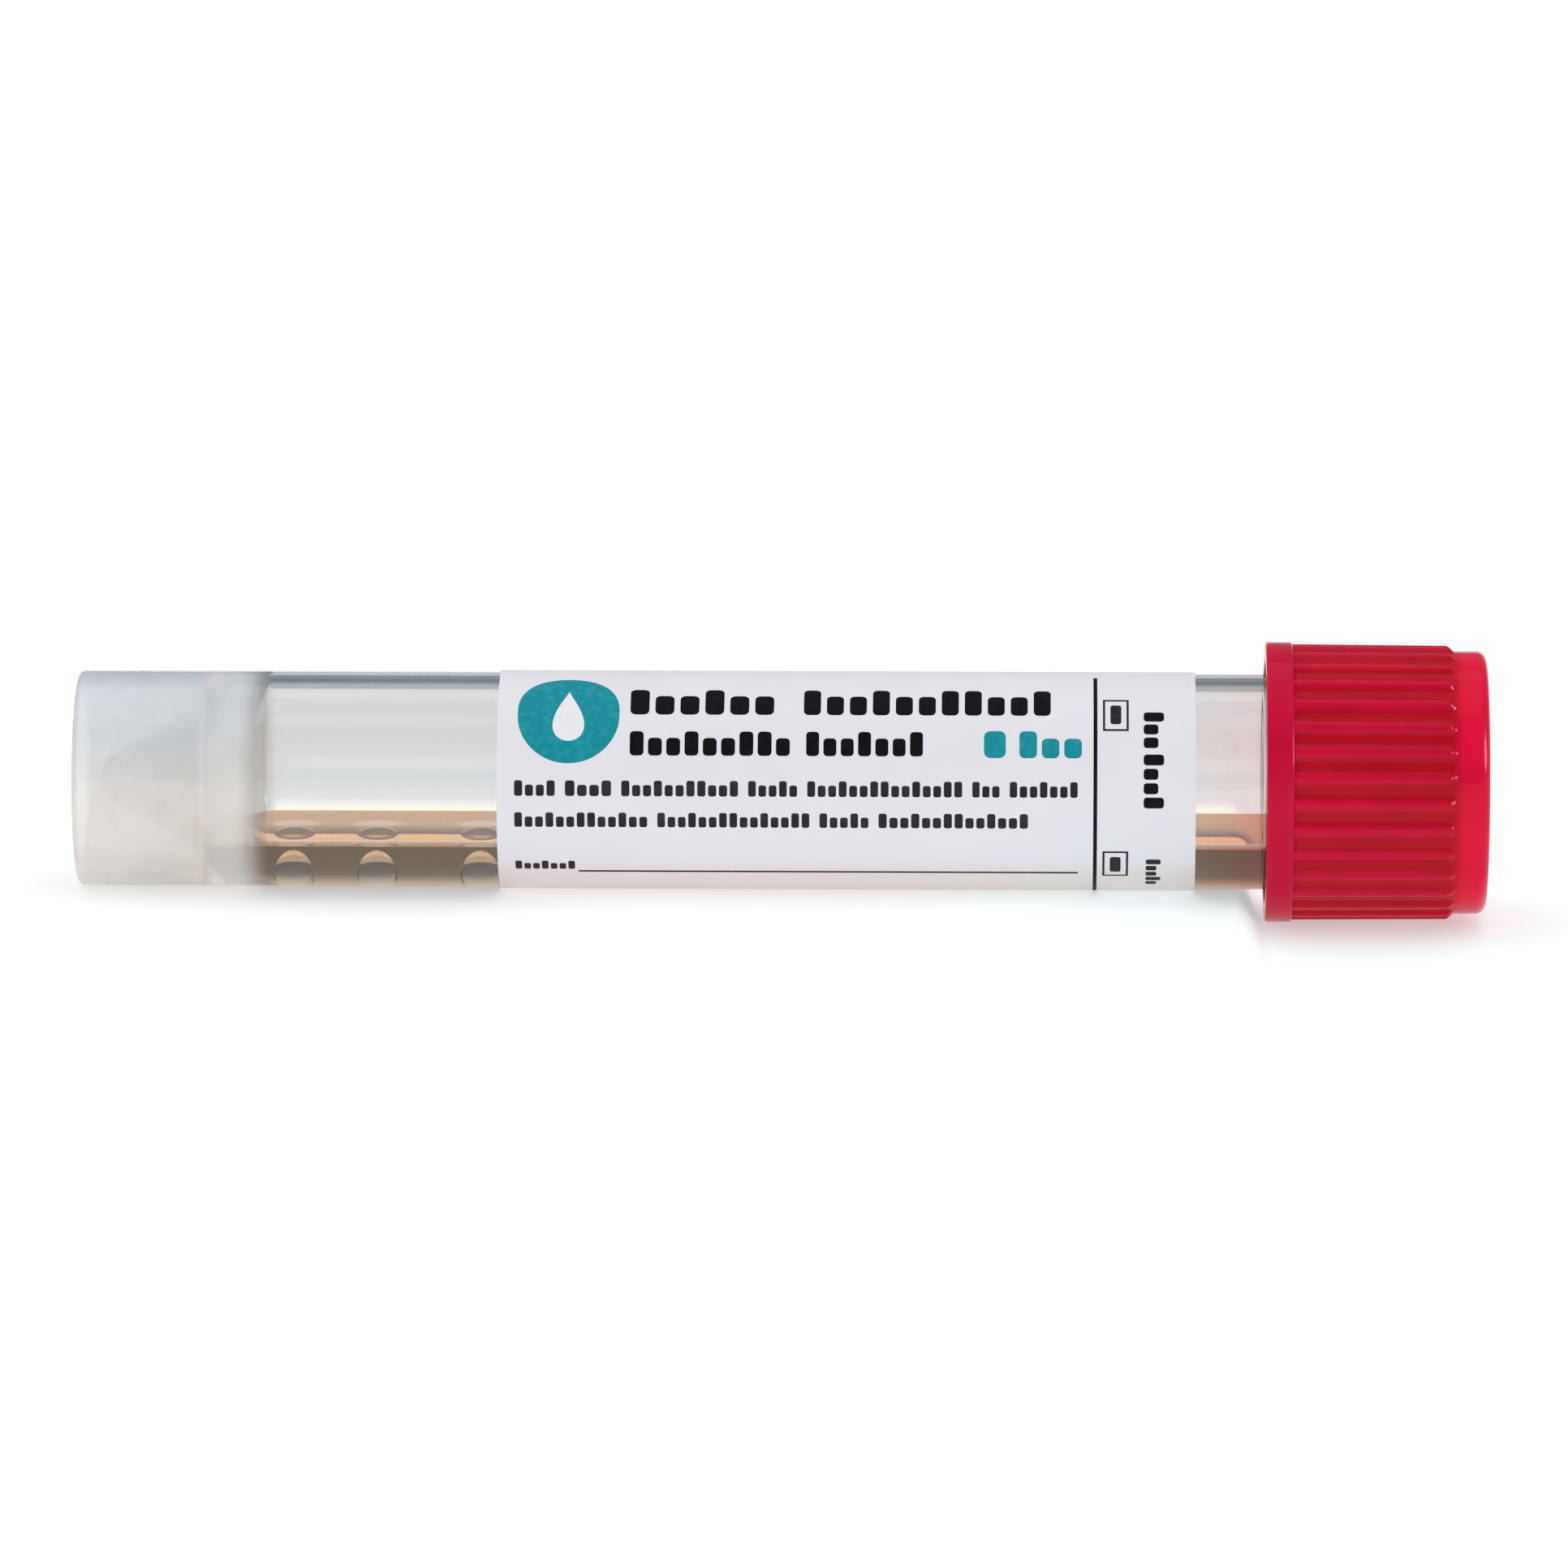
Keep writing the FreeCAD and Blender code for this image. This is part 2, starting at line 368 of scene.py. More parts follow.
@dataclass(frozen=True)
class ClearPolypropylene:
    """Moulded clarified polypropylene: clear as water, but frosted and milky at the thick foot.

    Where liquid wets it, the liquid takes the place of air, so it bends light far less.
    """

    colour: str = "F1F3F3"
    frost_with_painted_light: tuple[str, str] = ("FCF9F5", "F2F6FA")  # of the foot's underside and top: milky, with painted warm light below and painted cool light on top
    index: float = 1.49
    liquid_index: float = 1.333
    clarity: tuple[float, float, float] = (0.97, 0.47, 0.57)  # of the wall, ring and skirt
    cloudiness: float = 0.05  # how far the foot's clarity wanders
    cloud_range: tuple[float, float] = (0.35, 0.65)  # of the noise, from dull to clear
    patch_size: float = 6.0  # of the clouds in the surface
    roughness: tuple[float, float] = (0.01, 0.03)
    frosting: float = 0.12
    painted_light_heights: tuple[float, float] = (-2.0, 6.0)  # heights where the painted light turns from the foot's warm underside to its cool top
    skirt: tuple[float, float] = (9.2, 10.0)  # where it turns into the ring
    frosted_to: float = 12.0
    clear_from: float = 14.6
    # painted shade: greyer than the dry plastic, so the liquid seen through the wetted wall looks
    # darker
    wet: str = "CED5DF"
    painted_cap_light: tuple[str, str] = ("F5EEEE", "D2A2AA")  # dry and wet: the cap's red light, painted on the plastic beside it
    red_from: float = 81.0
    red_to: float = 88.0

    def dry(self) -> bpy.types.Material:
        """Makes the plastic where air touches it.

        Returns:
            The material, clear in the wall and frosted at the foot.
        """
        material, tree = new_material("clear_polypropylene")
        place = add_node(tree, "ShaderNodeTexCoord")
        clouds = add_node(
            tree,
            "ShaderNodeTexNoise",
            None,
            {"Vector": place.outputs["Object"], "Scale": 1 / (self.patch_size * MM), "Detail": 3.0},
        )
        smooth = add_node(
            tree,
            "ShaderNodeMapRange",
            None,
            {
                "Value": clouds.outputs["Fac"],
                "From Min": NOISE_LOW,
                "From Max": NOISE_HIGH,
                "To Min": self.roughness[0],
                "To Max": self.roughness[1],
            },
        )
        along = add_node(tree, "ShaderNodeSeparateXYZ", None, {"Vector": place.outputs["Object"]})
        foot = add_node(
            tree,
            "ShaderNodeMapRange",
            {"interpolation_type": "SMOOTHSTEP"},
            {
                "Value": along.outputs["X"],
                "From Min": self.clear_from * MM,
                "From Max": self.frosted_to * MM,
            },
        )
        roughness = add_node(
            tree,
            "ShaderNodeMix",
            {"data_type": "FLOAT"},
            {0: foot.outputs["Result"], 2: smooth.outputs["Result"], 3: self.frosting},
        )
        clarity = add_node(
            tree,
            "ShaderNodeMapRange",
            None,
            {"Value": foot.outputs["Result"], "To Min": self.clarity[0], "To Max": self.clarity[1]},
        )
        skirt = add_node(
            tree,
            "ShaderNodeMapRange",
            {"interpolation_type": "SMOOTHSTEP"},
            {
                "Value": along.outputs["X"],
                "From Min": self.skirt[1] * MM,
                "From Max": self.skirt[0] * MM,
            },
        )
        clarity = add_node(
            tree,
            "ShaderNodeMix",
            {"data_type": "FLOAT"},
            {0: skirt.outputs["Result"], 2: clarity.outputs["Result"], 3: self.clarity[2]},
        )
        wander = add_node(
            tree,
            "ShaderNodeMapRange",
            None,
            {
                "Value": clouds.outputs["Fac"],
                "From Min": self.cloud_range[0],
                "From Max": self.cloud_range[1],
                "To Min": -self.cloudiness,
                "To Max": self.cloudiness,
            },
        )
        clarity = add_node(
            tree,
            "ShaderNodeMath",
            {"operation": "MULTIPLY_ADD", "use_clamp": True},
            {0: wander.outputs["Result"], 1: foot.outputs["Result"], 2: clarity.outputs[0]},
        )
        # painted light: the frosted foot is warmer below and cooler on top
        top_light_share = add_node(
            tree,
            "ShaderNodeMapRange",
            {"interpolation_type": "SMOOTHSTEP"},
            {
                "Value": along.outputs["Z"],
                "From Min": self.painted_light_heights[0] * MM,
                "From Max": self.painted_light_heights[1] * MM,
            },
        )
        frost_with_painted_light = add_node(
            tree,
            "ShaderNodeMix",
            {"data_type": "RGBA"},
            {0: top_light_share.outputs["Result"], 6: linear(self.frost_with_painted_light[0]), 7: linear(self.frost_with_painted_light[1])},
        )
        colour = add_node(
            tree,
            "ShaderNodeMix",
            {"data_type": "RGBA"},
            {0: foot.outputs["Result"], 6: linear(self.colour), 7: frost_with_painted_light.outputs[2]},
        )
        colour = self.paint_cap_light(tree, along, colour.outputs[2], self.painted_cap_light[0])
        plastic = add_node(
            tree,
            "ShaderNodeBsdfPrincipled",
            None,
            {
                "Base Color": colour.outputs[2],
                "Roughness": roughness.outputs[0],
                "IOR": self.index,
                "Transmission Weight": clarity.outputs[0],
            },
        )
        add_node(tree, "ShaderNodeOutputMaterial", None, {"Surface": plastic.outputs["BSDF"]})
        return material

    def paint_cap_light(
        self,
        tree: bpy.types.NodeTree,
        along: bpy.types.Node,
        colour: bpy.types.NodeSocket | Colour,
        tint: str,
    ) -> bpy.types.Node:
        """Paints the red cap's light, which runs along in the wall, on the plastic beside it.

        Args:
            tree: The material's nodes.
            along: The node that gives the place along the tube.
            colour: The plastic's own colour.
            tint: Its colour beside the cap, with the painted red light.

        Returns:
            The node that mixes them.
        """
        near = add_node(
            tree,
            "ShaderNodeMapRange",
            None,
            {
                "Value": along.outputs["X"],
                "From Min": self.red_from * MM,
                "From Max": self.red_to * MM,
            },
        )
        return add_node(
            tree,
            "ShaderNodeMix",
            {"data_type": "RGBA"},
            {0: near.outputs["Result"], 6: colour, 7: linear(tint)},
        )

    def wetted(self) -> bpy.types.Material:
        """Makes the plastic where the medium touches it.

        Returns:
            The material, which bends light far less than the dry one, with a greyer colour as
            painted shade.
        """
        material, tree = new_material("wetted_polypropylene")
        place = add_node(tree, "ShaderNodeTexCoord")
        along = add_node(tree, "ShaderNodeSeparateXYZ", None, {"Vector": place.outputs["Object"]})
        colour = self.paint_cap_light(tree, along, linear(self.wet), self.painted_cap_light[1])
        plastic = add_node(
            tree,
            "ShaderNodeBsdfPrincipled",
            None,
            {
                "Base Color": colour.outputs[2],
                "Roughness": 0.0,
                "IOR": self.index / self.liquid_index,
                "Transmission Weight": 1.0,
            },
        )
        add_node(tree, "ShaderNodeOutputMaterial", None, {"Surface": plastic.outputs["BSDF"]})
        return material


@dataclass(frozen=True)
class TransportMedium:
    """Buffered nutrient broth: a thin amber liquid that reddens where it is deep."""

    colour: tuple[float, float, float] = (0.95, 0.52, 0.25)  # what one depth lets through
    depth: float = 10.0
    density_margin: float = 1.25  # keeps each colour's share of the density under 1
    index: float = 1.333

    def material(self, name: str, index: float) -> bpy.types.Material:
        """Makes one side of the liquid.

        Args:
            name: The material's name.
            index: How strongly that side bends light, where 1 doesn't bend it.

        Returns:
            The material, with the liquid's own colour inside.
        """
        material, tree = new_material(name)
        surface = add_node(
            tree,
            "ShaderNodeBsdfPrincipled",
            None,
            {
                "Base Color": linear("FFFFFF"),
                "Roughness": 0.0,
                "IOR": index,
                "Transmission Weight": 1.0,
            },
        )
        losses = [-math.log(share) / (self.depth * MM) for share in self.colour]
        density = max(losses) * self.density_margin
        inside = add_node(
            tree,
            "ShaderNodeVolumeAbsorption",
            None,
            {"Color": (*(1 - loss / density for loss in losses), 1.0), "Density": density},
        )
        add_node(
            tree,
            "ShaderNodeOutputMaterial",
            None,
            {"Surface": surface.outputs["BSDF"], "Volume": inside.outputs["Volume"]},
        )
        return material

    def free_surface(self) -> bpy.types.Material:
        """Returns the liquid's top, where it meets air."""
        return self.material("medium_surface", self.index)

    def skin(self) -> bpy.types.Material:
        """Returns the liquid's sides, where it meets plastic or glass."""
        return self.material("medium_side", 1.0)


@dataclass(frozen=True)
class BeadGlass:
    """Soda-lime glass bead in liquid: nearly lost but for its bright and dark rim."""

    colour: str = "FBFDFB"
    index: float = 1.52
    liquid_index: float = 1.333

    def material(self) -> bpy.types.Material:
        """Makes the glass as it looks in the medium.

        Returns:
            The material.
        """
        material, tree = new_material("soda_lime_glass")
        glass = add_node(
            tree,
            "ShaderNodeBsdfPrincipled",
            None,
            {
                "Base Color": linear(self.colour),
                "Roughness": 0.0,
                "IOR": self.index / self.liquid_index,
                "Transmission Weight": 1.0,
            },
        )
        add_node(tree, "ShaderNodeOutputMaterial", None, {"Surface": glass.outputs["BSDF"]})
        return material


@dataclass(frozen=True)
class RedPolyethylene:
    """Moulded red high-density polyethylene: waxy satin, a little see-through where it is thin.

    The rim is painted lighter than the ribbed wall, a painted glow for the light that enters the
    recess.
    """

    wall: str = "C60C38"
    # painted shade, darker in the grooves between the ribs
    groove_shade: str = "B60C20"
    # painted glow: lighter than the wall, for the light that enters the recess
    rim: str = "DE0F3C"
    rim_blend: tuple[float, float] = (-0.6, 0.5)  # where the painted glow blends in from the wall's colour, round the rim's start
    crest_height: float = 0.22  # over the grooves' floor, where the painted shade of the grooves has faded into the wall's colour
    mottle: float = 0.06
    mottle_size: float = 4.0
    grain_size: float = 0.25  # finer in truth, and drawn coarse enough to show
    grain_height: float = 0.0015
    roughness: tuple[float, float] = (0.09, 0.15)
    shine: float = 0.1

    def material(self, rim_start: float, groove_radius: float) -> bpy.types.Material:
        """Makes the cap's plastic.

        Args:
            rim_start: Where along the tube the lighter rim begins, in millimetres.
            groove_radius: How far the grooves between the ribs are from the axis.

        Returns:
            The material.
        """
        material, tree = new_material("red_polyethylene")
        place = add_node(tree, "ShaderNodeTexCoord")
        along = add_node(tree, "ShaderNodeSeparateXYZ", None, {"Vector": place.outputs["Object"]})
        rim_glow_share = add_node(
            tree,
            "ShaderNodeMapRange",
            {"interpolation_type": "SMOOTHSTEP"},
            {
                "Value": along.outputs["X"],
                "From Min": (rim_start + self.rim_blend[0]) * MM,
                "From Max": (rim_start + self.rim_blend[1]) * MM,
            },
        )
        mottle = add_node(
            tree,
            "ShaderNodeTexNoise",
            None,
            {
                "Vector": place.outputs["Object"],
                "Scale": 1 / (self.mottle_size * MM),
                "Detail": 4.0,
            },
        )
        across = add_node(
            tree,
            "ShaderNodeVectorMath",
            {"operation": "MULTIPLY"},
            {0: place.outputs["Object"], 1: (0.0, 1.0, 1.0)},
        )
        from_axis = add_node(
            tree, "ShaderNodeVectorMath", {"operation": "LENGTH"}, {0: across.outputs[0]}
        )
        # painted shade: the grooves between the ribs get a darker red, fading to the wall's colour
        # up the ribs
        crest_share = add_node(
            tree,
            "ShaderNodeMapRange",
            None,
            {
                "Value": from_axis.outputs["Value"],
                "From Min": groove_radius * MM,
                "From Max": (groove_radius + self.crest_height) * MM,
            },
        )
        wall = add_node(
            tree,
            "ShaderNodeMix",
            {"data_type": "RGBA"},
            {0: crest_share.outputs["Result"], 6: linear(self.groove_shade), 7: linear(self.wall)},
        )
        colour = add_node(
            tree,
            "ShaderNodeMix",
            {"data_type": "RGBA"},
            {0: rim_glow_share.outputs["Result"], 6: wall.outputs[2], 7: linear(self.rim)},
        )
        brightness = add_node(
            tree,
            "ShaderNodeMapRange",
            None,
            {
                "Value": mottle.outputs["Fac"],
                "From Min": NOISE_LOW,
                "From Max": NOISE_HIGH,
                "To Min": 1 - self.mottle,
                "To Max": 1 + self.mottle,
            },
        )
        mottled = add_node(
            tree,
            "ShaderNodeHueSaturation",
            None,
            {"Color": colour.outputs[2], "Value": brightness.outputs["Result"]},
        )
        roughness = add_node(
            tree,
            "ShaderNodeMapRange",
            None,
            {
                "Value": mottle.outputs["Fac"],
                "From Min": NOISE_LOW,
                "From Max": NOISE_HIGH,
                "To Min": self.roughness[0],
                "To Max": self.roughness[1],
            },
        )
        grain = add_node(
            tree,
            "ShaderNodeTexNoise",
            None,
            {"Vector": place.outputs["Object"], "Scale": 1 / (self.grain_size * MM)},
        )
        bump = add_node(
            tree,
            "ShaderNodeBump",
            None,
            {"Height": grain.outputs["Fac"], "Distance": self.grain_height * MM, "Strength": 1.0},
        )
        plastic = add_node(
            tree,
            "ShaderNodeBsdfPrincipled",
            None,
            {
                "Base Color": mottled.outputs["Color"],
                "Roughness": roughness.outputs["Result"],
                "IOR": 1.54,
                "Specular IOR Level": self.shine,
                "Subsurface Weight": 0.2,
                "Subsurface Radius": (1.0, 0.12, 0.12),
                "Subsurface Scale": 1.2 * MM,
                "Normal": bump.outputs["Normal"],
            },
        )
        add_node(tree, "ShaderNodeOutputMaterial", None, {"Surface": plastic.outputs["BSDF"]})
        return material


@dataclass(frozen=True)
class SealRubber:
    """Moulded thermoplastic rubber: pale grey and matt, with a dusty bloom."""

    colour: str = "C9CBC8"
    bloom: str = "DEDFDC"
    bloom_size: float = 1.5

    def material(self) -> bpy.types.Material:
        """Makes the seal's rubber.

        Returns:
            The material.
        """
        material, tree = new_material("seal_rubber")
        place = add_node(tree, "ShaderNodeTexCoord")
        noise = add_node(
            tree,
            "ShaderNodeTexNoise",
            None,
            {"Vector": place.outputs["Object"], "Scale": 1 / (self.bloom_size * MM), "Detail": 5.0},
        )
        colour = add_node(
            tree,
            "ShaderNodeMix",
            {"data_type": "RGBA"},
            {0: noise.outputs["Fac"], 6: linear(self.colour), 7: linear(self.bloom)},
        )
        rubber = add_node(
            tree,
            "ShaderNodeBsdfPrincipled",
            None,
            {"Base Color": colour.outputs[2], "Roughness": 0.7, "IOR": 1.45},
        )
        add_node(tree, "ShaderNodeOutputMaterial", None, {"Surface": rubber.outputs["BSDF"]})
        return material


@dataclass(frozen=True)
class LabelPaper:
    """Coated white label paper: bright, cool and nearly smooth, with a soft sheen.

    It is thin enough for some light to soak through into the tube, and its lower part, in front of
    the medium, gets a painted warm light for the light that the medium tints.
    """

    colour: str = "F7F6FC"
    cloud: str = "F1F0F7"
    # painted warm light, for the light that the medium behind the paper tints
    warm: str = "F3EBE9"
    soaks: tuple[float, float] = (0.13, 0.75)  # of the light at its face, and at its back
    fibre_size: float = 0.3  # finer in truth, and drawn coarse enough to show
    fibre_height: float = 0.002
    cloud_size: float = 5.0
    warm_light_depths: tuple[float, float] = (0.6, 2.6)  # below the medium's surface, where the painted warm light fades in

    def material(self, level: float) -> bpy.types.Material:
        """Makes the label's paper.

        Args:
            level: The height of the medium's surface, in millimetres.

        Returns:
            The material.
        """
        material, tree = new_material("coated_paper")
        place = add_node(tree, "ShaderNodeTexCoord")
        clouds = add_node(
            tree,
            "ShaderNodeTexNoise",
            None,
            {"Vector": place.outputs["Object"], "Scale": 1 / (self.cloud_size * MM), "Detail": 3.0},
        )
        white = add_node(
            tree,
            "ShaderNodeMix",
            {"data_type": "RGBA"},
            {0: clouds.outputs["Fac"], 6: linear(self.colour), 7: linear(self.cloud)},
        )
        height = add_node(tree, "ShaderNodeSeparateXYZ", None, {"Vector": place.outputs["Object"]})
        # painted warm light on the paper's lower part, in front of the medium
        behind = add_node(
            tree,
            "ShaderNodeMapRange",
            {"interpolation_type": "SMOOTHSTEP"},
            {
                "Value": height.outputs["Z"],
                "From Min": (level - self.warm_light_depths[0]) * MM,
                "From Max": (level - self.warm_light_depths[1]) * MM,
            },
        )
        colour = add_node(
            tree,
            "ShaderNodeMix",
            {"data_type": "RGBA"},
            {0: behind.outputs["Result"], 6: white.outputs[2], 7: linear(self.warm)},
        )
        fibres = add_node(
            tree,
            "ShaderNodeTexNoise",
            None,
            {"Vector": place.outputs["Object"], "Scale": 1 / (self.fibre_size * MM)},
        )
        bump = add_node(
            tree,
            "ShaderNodeBump",
            None,
            {"Height": fibres.outputs["Fac"], "Distance": self.fibre_height * MM, "Strength": 1.0},
        )
        paper = add_node(
            tree,
            "ShaderNodeBsdfPrincipled",
            None,
            {
                "Base Color": colour.outputs[2],
                "Roughness": 0.5,
                "IOR": 1.45,
                "Normal": bump.outputs["Normal"],
            },
        )
        self.soak(tree, paper, colour.outputs[2], self.soaks[0])
        return material

    def glued_back(self) -> bpy.types.Material:
        """Makes the label's glued side: matt, and bright with the light in the paper.

        Returns:
            The material.
        """
        material, tree = new_material("glued_paper_back")
        white = linear(self.colour)
        paper = add_node(tree, "ShaderNodeBsdfDiffuse", None, {"Color": white})
        self.soak(tree, paper, white, self.soaks[1])
        return material

    def soak(
        self,
        tree: bpy.types.NodeTree,
        paper: bpy.types.Node,
        colour: bpy.types.NodeSocket | Colour,
        share: float,
    ) -> None:
        """Lets a share of the light through one side of the paper, and shows the result.

        Args:
            tree: The material's node tree.
            paper: The shader of what stays outside.
            colour: The paper's colour.
            share: The share of the light that soaks through.
        """
        soaked = add_node(tree, "ShaderNodeBsdfTranslucent", None, {"Color": colour})
        both = add_node(
            tree,
            "ShaderNodeMixShader",
            None,
            {0: share, 1: paper.outputs["BSDF"], 2: soaked.outputs["BSDF"]},
        )
        add_node(tree, "ShaderNodeOutputMaterial", None, {"Surface": both.outputs["Shader"]})


@dataclass(frozen=True)
class PrintedInk:
    """Offset ink on coated paper: an even colour with faint thin spots."""

    name: str
    colour: str
    thin_spot: str
    spot_size: float = 0.6
    spot_range: tuple[float, float] = (0.45, 0.8)  # of the noise, from even ink to a thin spot
    shine: float = 0.1

    def material(self) -> bpy.types.Material:
        """Makes the ink.

        Returns:
            The material.
        """
        material, tree = new_material(self.name)
        place = add_node(tree, "ShaderNodeTexCoord")
        spots = add_node(
            tree,
            "ShaderNodeTexNoise",
            None,
            {"Vector": place.outputs["Object"], "Scale": 1 / (self.spot_size * MM), "Detail": 2.0},
        )
        share = add_node(
            tree,
            "ShaderNodeMapRange",
            None,
            {
                "Value": spots.outputs["Fac"],
                "From Min": self.spot_range[0],
                "From Max": self.spot_range[1],
            },
        )
        colour = add_node(
            tree,
            "ShaderNodeMix",
            {"data_type": "RGBA"},
            {0: share.outputs["Result"], 6: linear(self.colour), 7: linear(self.thin_spot)},
        )
        ink = add_node(
            tree,
            "ShaderNodeBsdfPrincipled",
            None,
            {
                "Base Color": colour.outputs[2],
                "Roughness": 0.5,
                "IOR": 1.48,
                "Specular IOR Level": self.shine,
            },
        )
        add_node(tree, "ShaderNodeOutputMaterial", None, {"Surface": ink.outputs["BSDF"]})
        return material


# Sub-assemblies


@dataclass(frozen=True)
class ThreadForm:
    """One right-hand thread ridge with soft flanks and faded ends."""

    start: float
    turns: float
    lead: float = 3.0
    height: float = 0.95
    root_width: float = 1.6
    crest_width: float = 1.0
    fade: float = 0.07  # of a turn, at each end

    def height_at(self, point: Vector) -> float:
        """Gives the ridge's height over its wall.

        Args:
            point: A place on the wall.

        Returns:
            The height, which is 0 away from the ridge.
        """
        turn = math.atan2(point.y, -point.z) / (2 * math.pi) % 1.0
        from_start = (point.x - self.start) / self.lead
        along = turn + round(from_start - turn)
        aside = abs(from_start - along) * self.lead
        flank = (self.root_width / 2 - aside) * 2 / (self.root_width - self.crest_width)
        ends = min(along, self.turns - along) / self.fade
        return self.height * smooth_step(flank) * smooth_step(ends)


@dataclass(frozen=True)
class Bore:
    """The inside of the tube: a straight bore that ends in a cone with a round tip."""

    radius: float = 7.05
    cone_top: float = 13.9
    half_angle: float = 29.6
    tip_radius: float = 0.9
    shoulder_radius: float = 1.6

    def corners(self, offset: float, end: Corner) -> list[Corner]:
        """Draws the bore from its tip to an end.

        Args:
            offset: How far the outline is moved out from the bore's surface.
            end: The last corner.

        Returns:
            The outline's corners, from the axis to the end.
        """
        slope = math.radians(self.half_angle)
        apex = self.cone_top - self.radius / math.tan(slope) - offset / math.sin(slope)
        tip_radius = self.tip_radius + offset
        tip = apex + tip_radius / math.sin(slope) - tip_radius
        radius = self.radius + offset
        return [
            Corner(tip, 0.0),
            Corner(tip, (tip - apex) * math.tan(slope), tip_radius),
            Corner(apex + radius / math.tan(slope), radius, self.shoulder_radius),
            end,
        ]


@dataclass
class ClearTube:
    """The clear tube: its wall, cone, skirt and threaded neck in one moulding."""

    bore: Bore
    thread: ThreadForm
    wet_level: float
    wet_end: float
    wall: float = 0.95
    skirt_bore: float = 7.0
    skirt_depth: float = 9.7
    groove_radius: float = 0.35
    standing_edge: float = 0.45
    edge: float = 0.2
    shoulder_x: float = 88.0
    shoulder_edge: float = 0.06
    neck_radius: float = 7.8
    lead_in: float = 1.2  # before the thread, from where the neck is cut finely
    thread_rows: int = 70
    plain_rim: float = 0.5
    inside_margin: float = 0.1  # how far off the bore's surface a face's middle may be
    steps: int = 192

    def outline(self) -> list[Corner]:
        """Draws the wall's section, from the cone's outer tip to its inner tip.

        Returns:
            The outline's corners.
        """
        low, high = cad_span("tube")
        length = high.x
        outer = self.bore.radius + self.wall
        tip, tip_corner, top, _ = self.bore.corners(self.wall, Corner(0.0, 0.0))
        slope = math.radians(self.bore.half_angle)
        groove_inner = top.radius - (top.x - self.skirt_depth) * math.tan(slope)
        outside = [
            tip,
            tip_corner,
            Corner(self.skirt_depth, groove_inner, self.groove_radius),
            Corner(self.skirt_depth, self.skirt_bore, self.groove_radius),
            Corner(low.x, self.skirt_bore, self.edge),
            Corner(low.x, outer, self.standing_edge),
            Corner(self.shoulder_x, outer, self.shoulder_edge),
            Corner(self.shoulder_x, self.neck_radius, self.shoulder_edge),
            Corner(self.thread.start - self.lead_in, self.neck_radius, 0.0, self.thread_rows),
            Corner(length - self.plain_rim, self.neck_radius),
            Corner(length, self.neck_radius, self.edge),
        ]
        inside = self.bore.corners(0.0, Corner(length, self.bore.radius, self.edge))
        return outside + inside[::-1]

    def wall_mesh(self) -> bmesh.types.BMesh:
        """Turns the wall and raises the neck's thread on it.

        Returns:
            The mesh, in millimetres.
        """
        mesh = turned(self.outline(), self.steps)
        first = self.thread.start - self.lead_in - ON_WALL
        shift_outwards(
            mesh,
            lambda p: p.x > first and abs(axis_distance(p) - self.neck_radius) < ON_WALL,
            lambda p: self.neck_radius + self.thread.height_at(p),
        )
        return mesh

    def is_inside(self, point: Vector) -> bool:
        """Tells whether a point of the wall's surface faces the contents.

        Args:
            point: The point.

        Returns:
            True on the bore's surface, up to where the liquid ends.
        """
        outline = self.bore.corners(0.0, Corner(self.wet_end, self.bore.radius))
        slope = math.tan(math.radians(self.bore.half_angle))
        at_cone = outline[1].radius + (point.x - outline[1].x) * slope
        limit = min(self.bore.radius, at_cone + self.inside_margin) + self.inside_margin
        in_reach = outline[0].x - self.inside_margin / 2 < point.x < self.wet_end
        return in_reach and axis_distance(point) < limit

    def mark_wetted(self, mesh: bmesh.types.BMesh) -> None:
        """Gives the inside faces under the liquid's edge the wetted material.

        Args:
            mesh: The wall's mesh.
        """
        inside = [f for f in mesh.faces if self.is_inside(f.calc_center_median())]
        edges = {edge for face in inside for edge in face.edges}
        vertices = {vertex for face in inside for vertex in face.verts}
        bmesh.ops.bisect_plane(
            mesh,
            geom=[*inside, *edges, *vertices],
            dist=SAME_PLACE,
            plane_co=Vector((0.0, 0.0, self.wet_level)),
            plane_no=Z_AXIS,
        )
        for face in mesh.faces:
            middle = face.calc_center_median()
            if middle.z < self.wet_level and self.is_inside(middle):
                face.material_index = 1

    def build(self, plastic: ClearPolypropylene) -> bpy.types.Object:
        """Builds the tube.

        Args:
            plastic: Its finish.

        Returns:
            The piece.
        """
        mesh = self.wall_mesh()
        self.mark_wetted(mesh)
        piece = finish_mesh(mesh, "clear_tube", [plastic.dry(), plastic.wetted()])
        hand_over(piece, Body.TUBE, Slot.TUBE, "tube")
        return piece


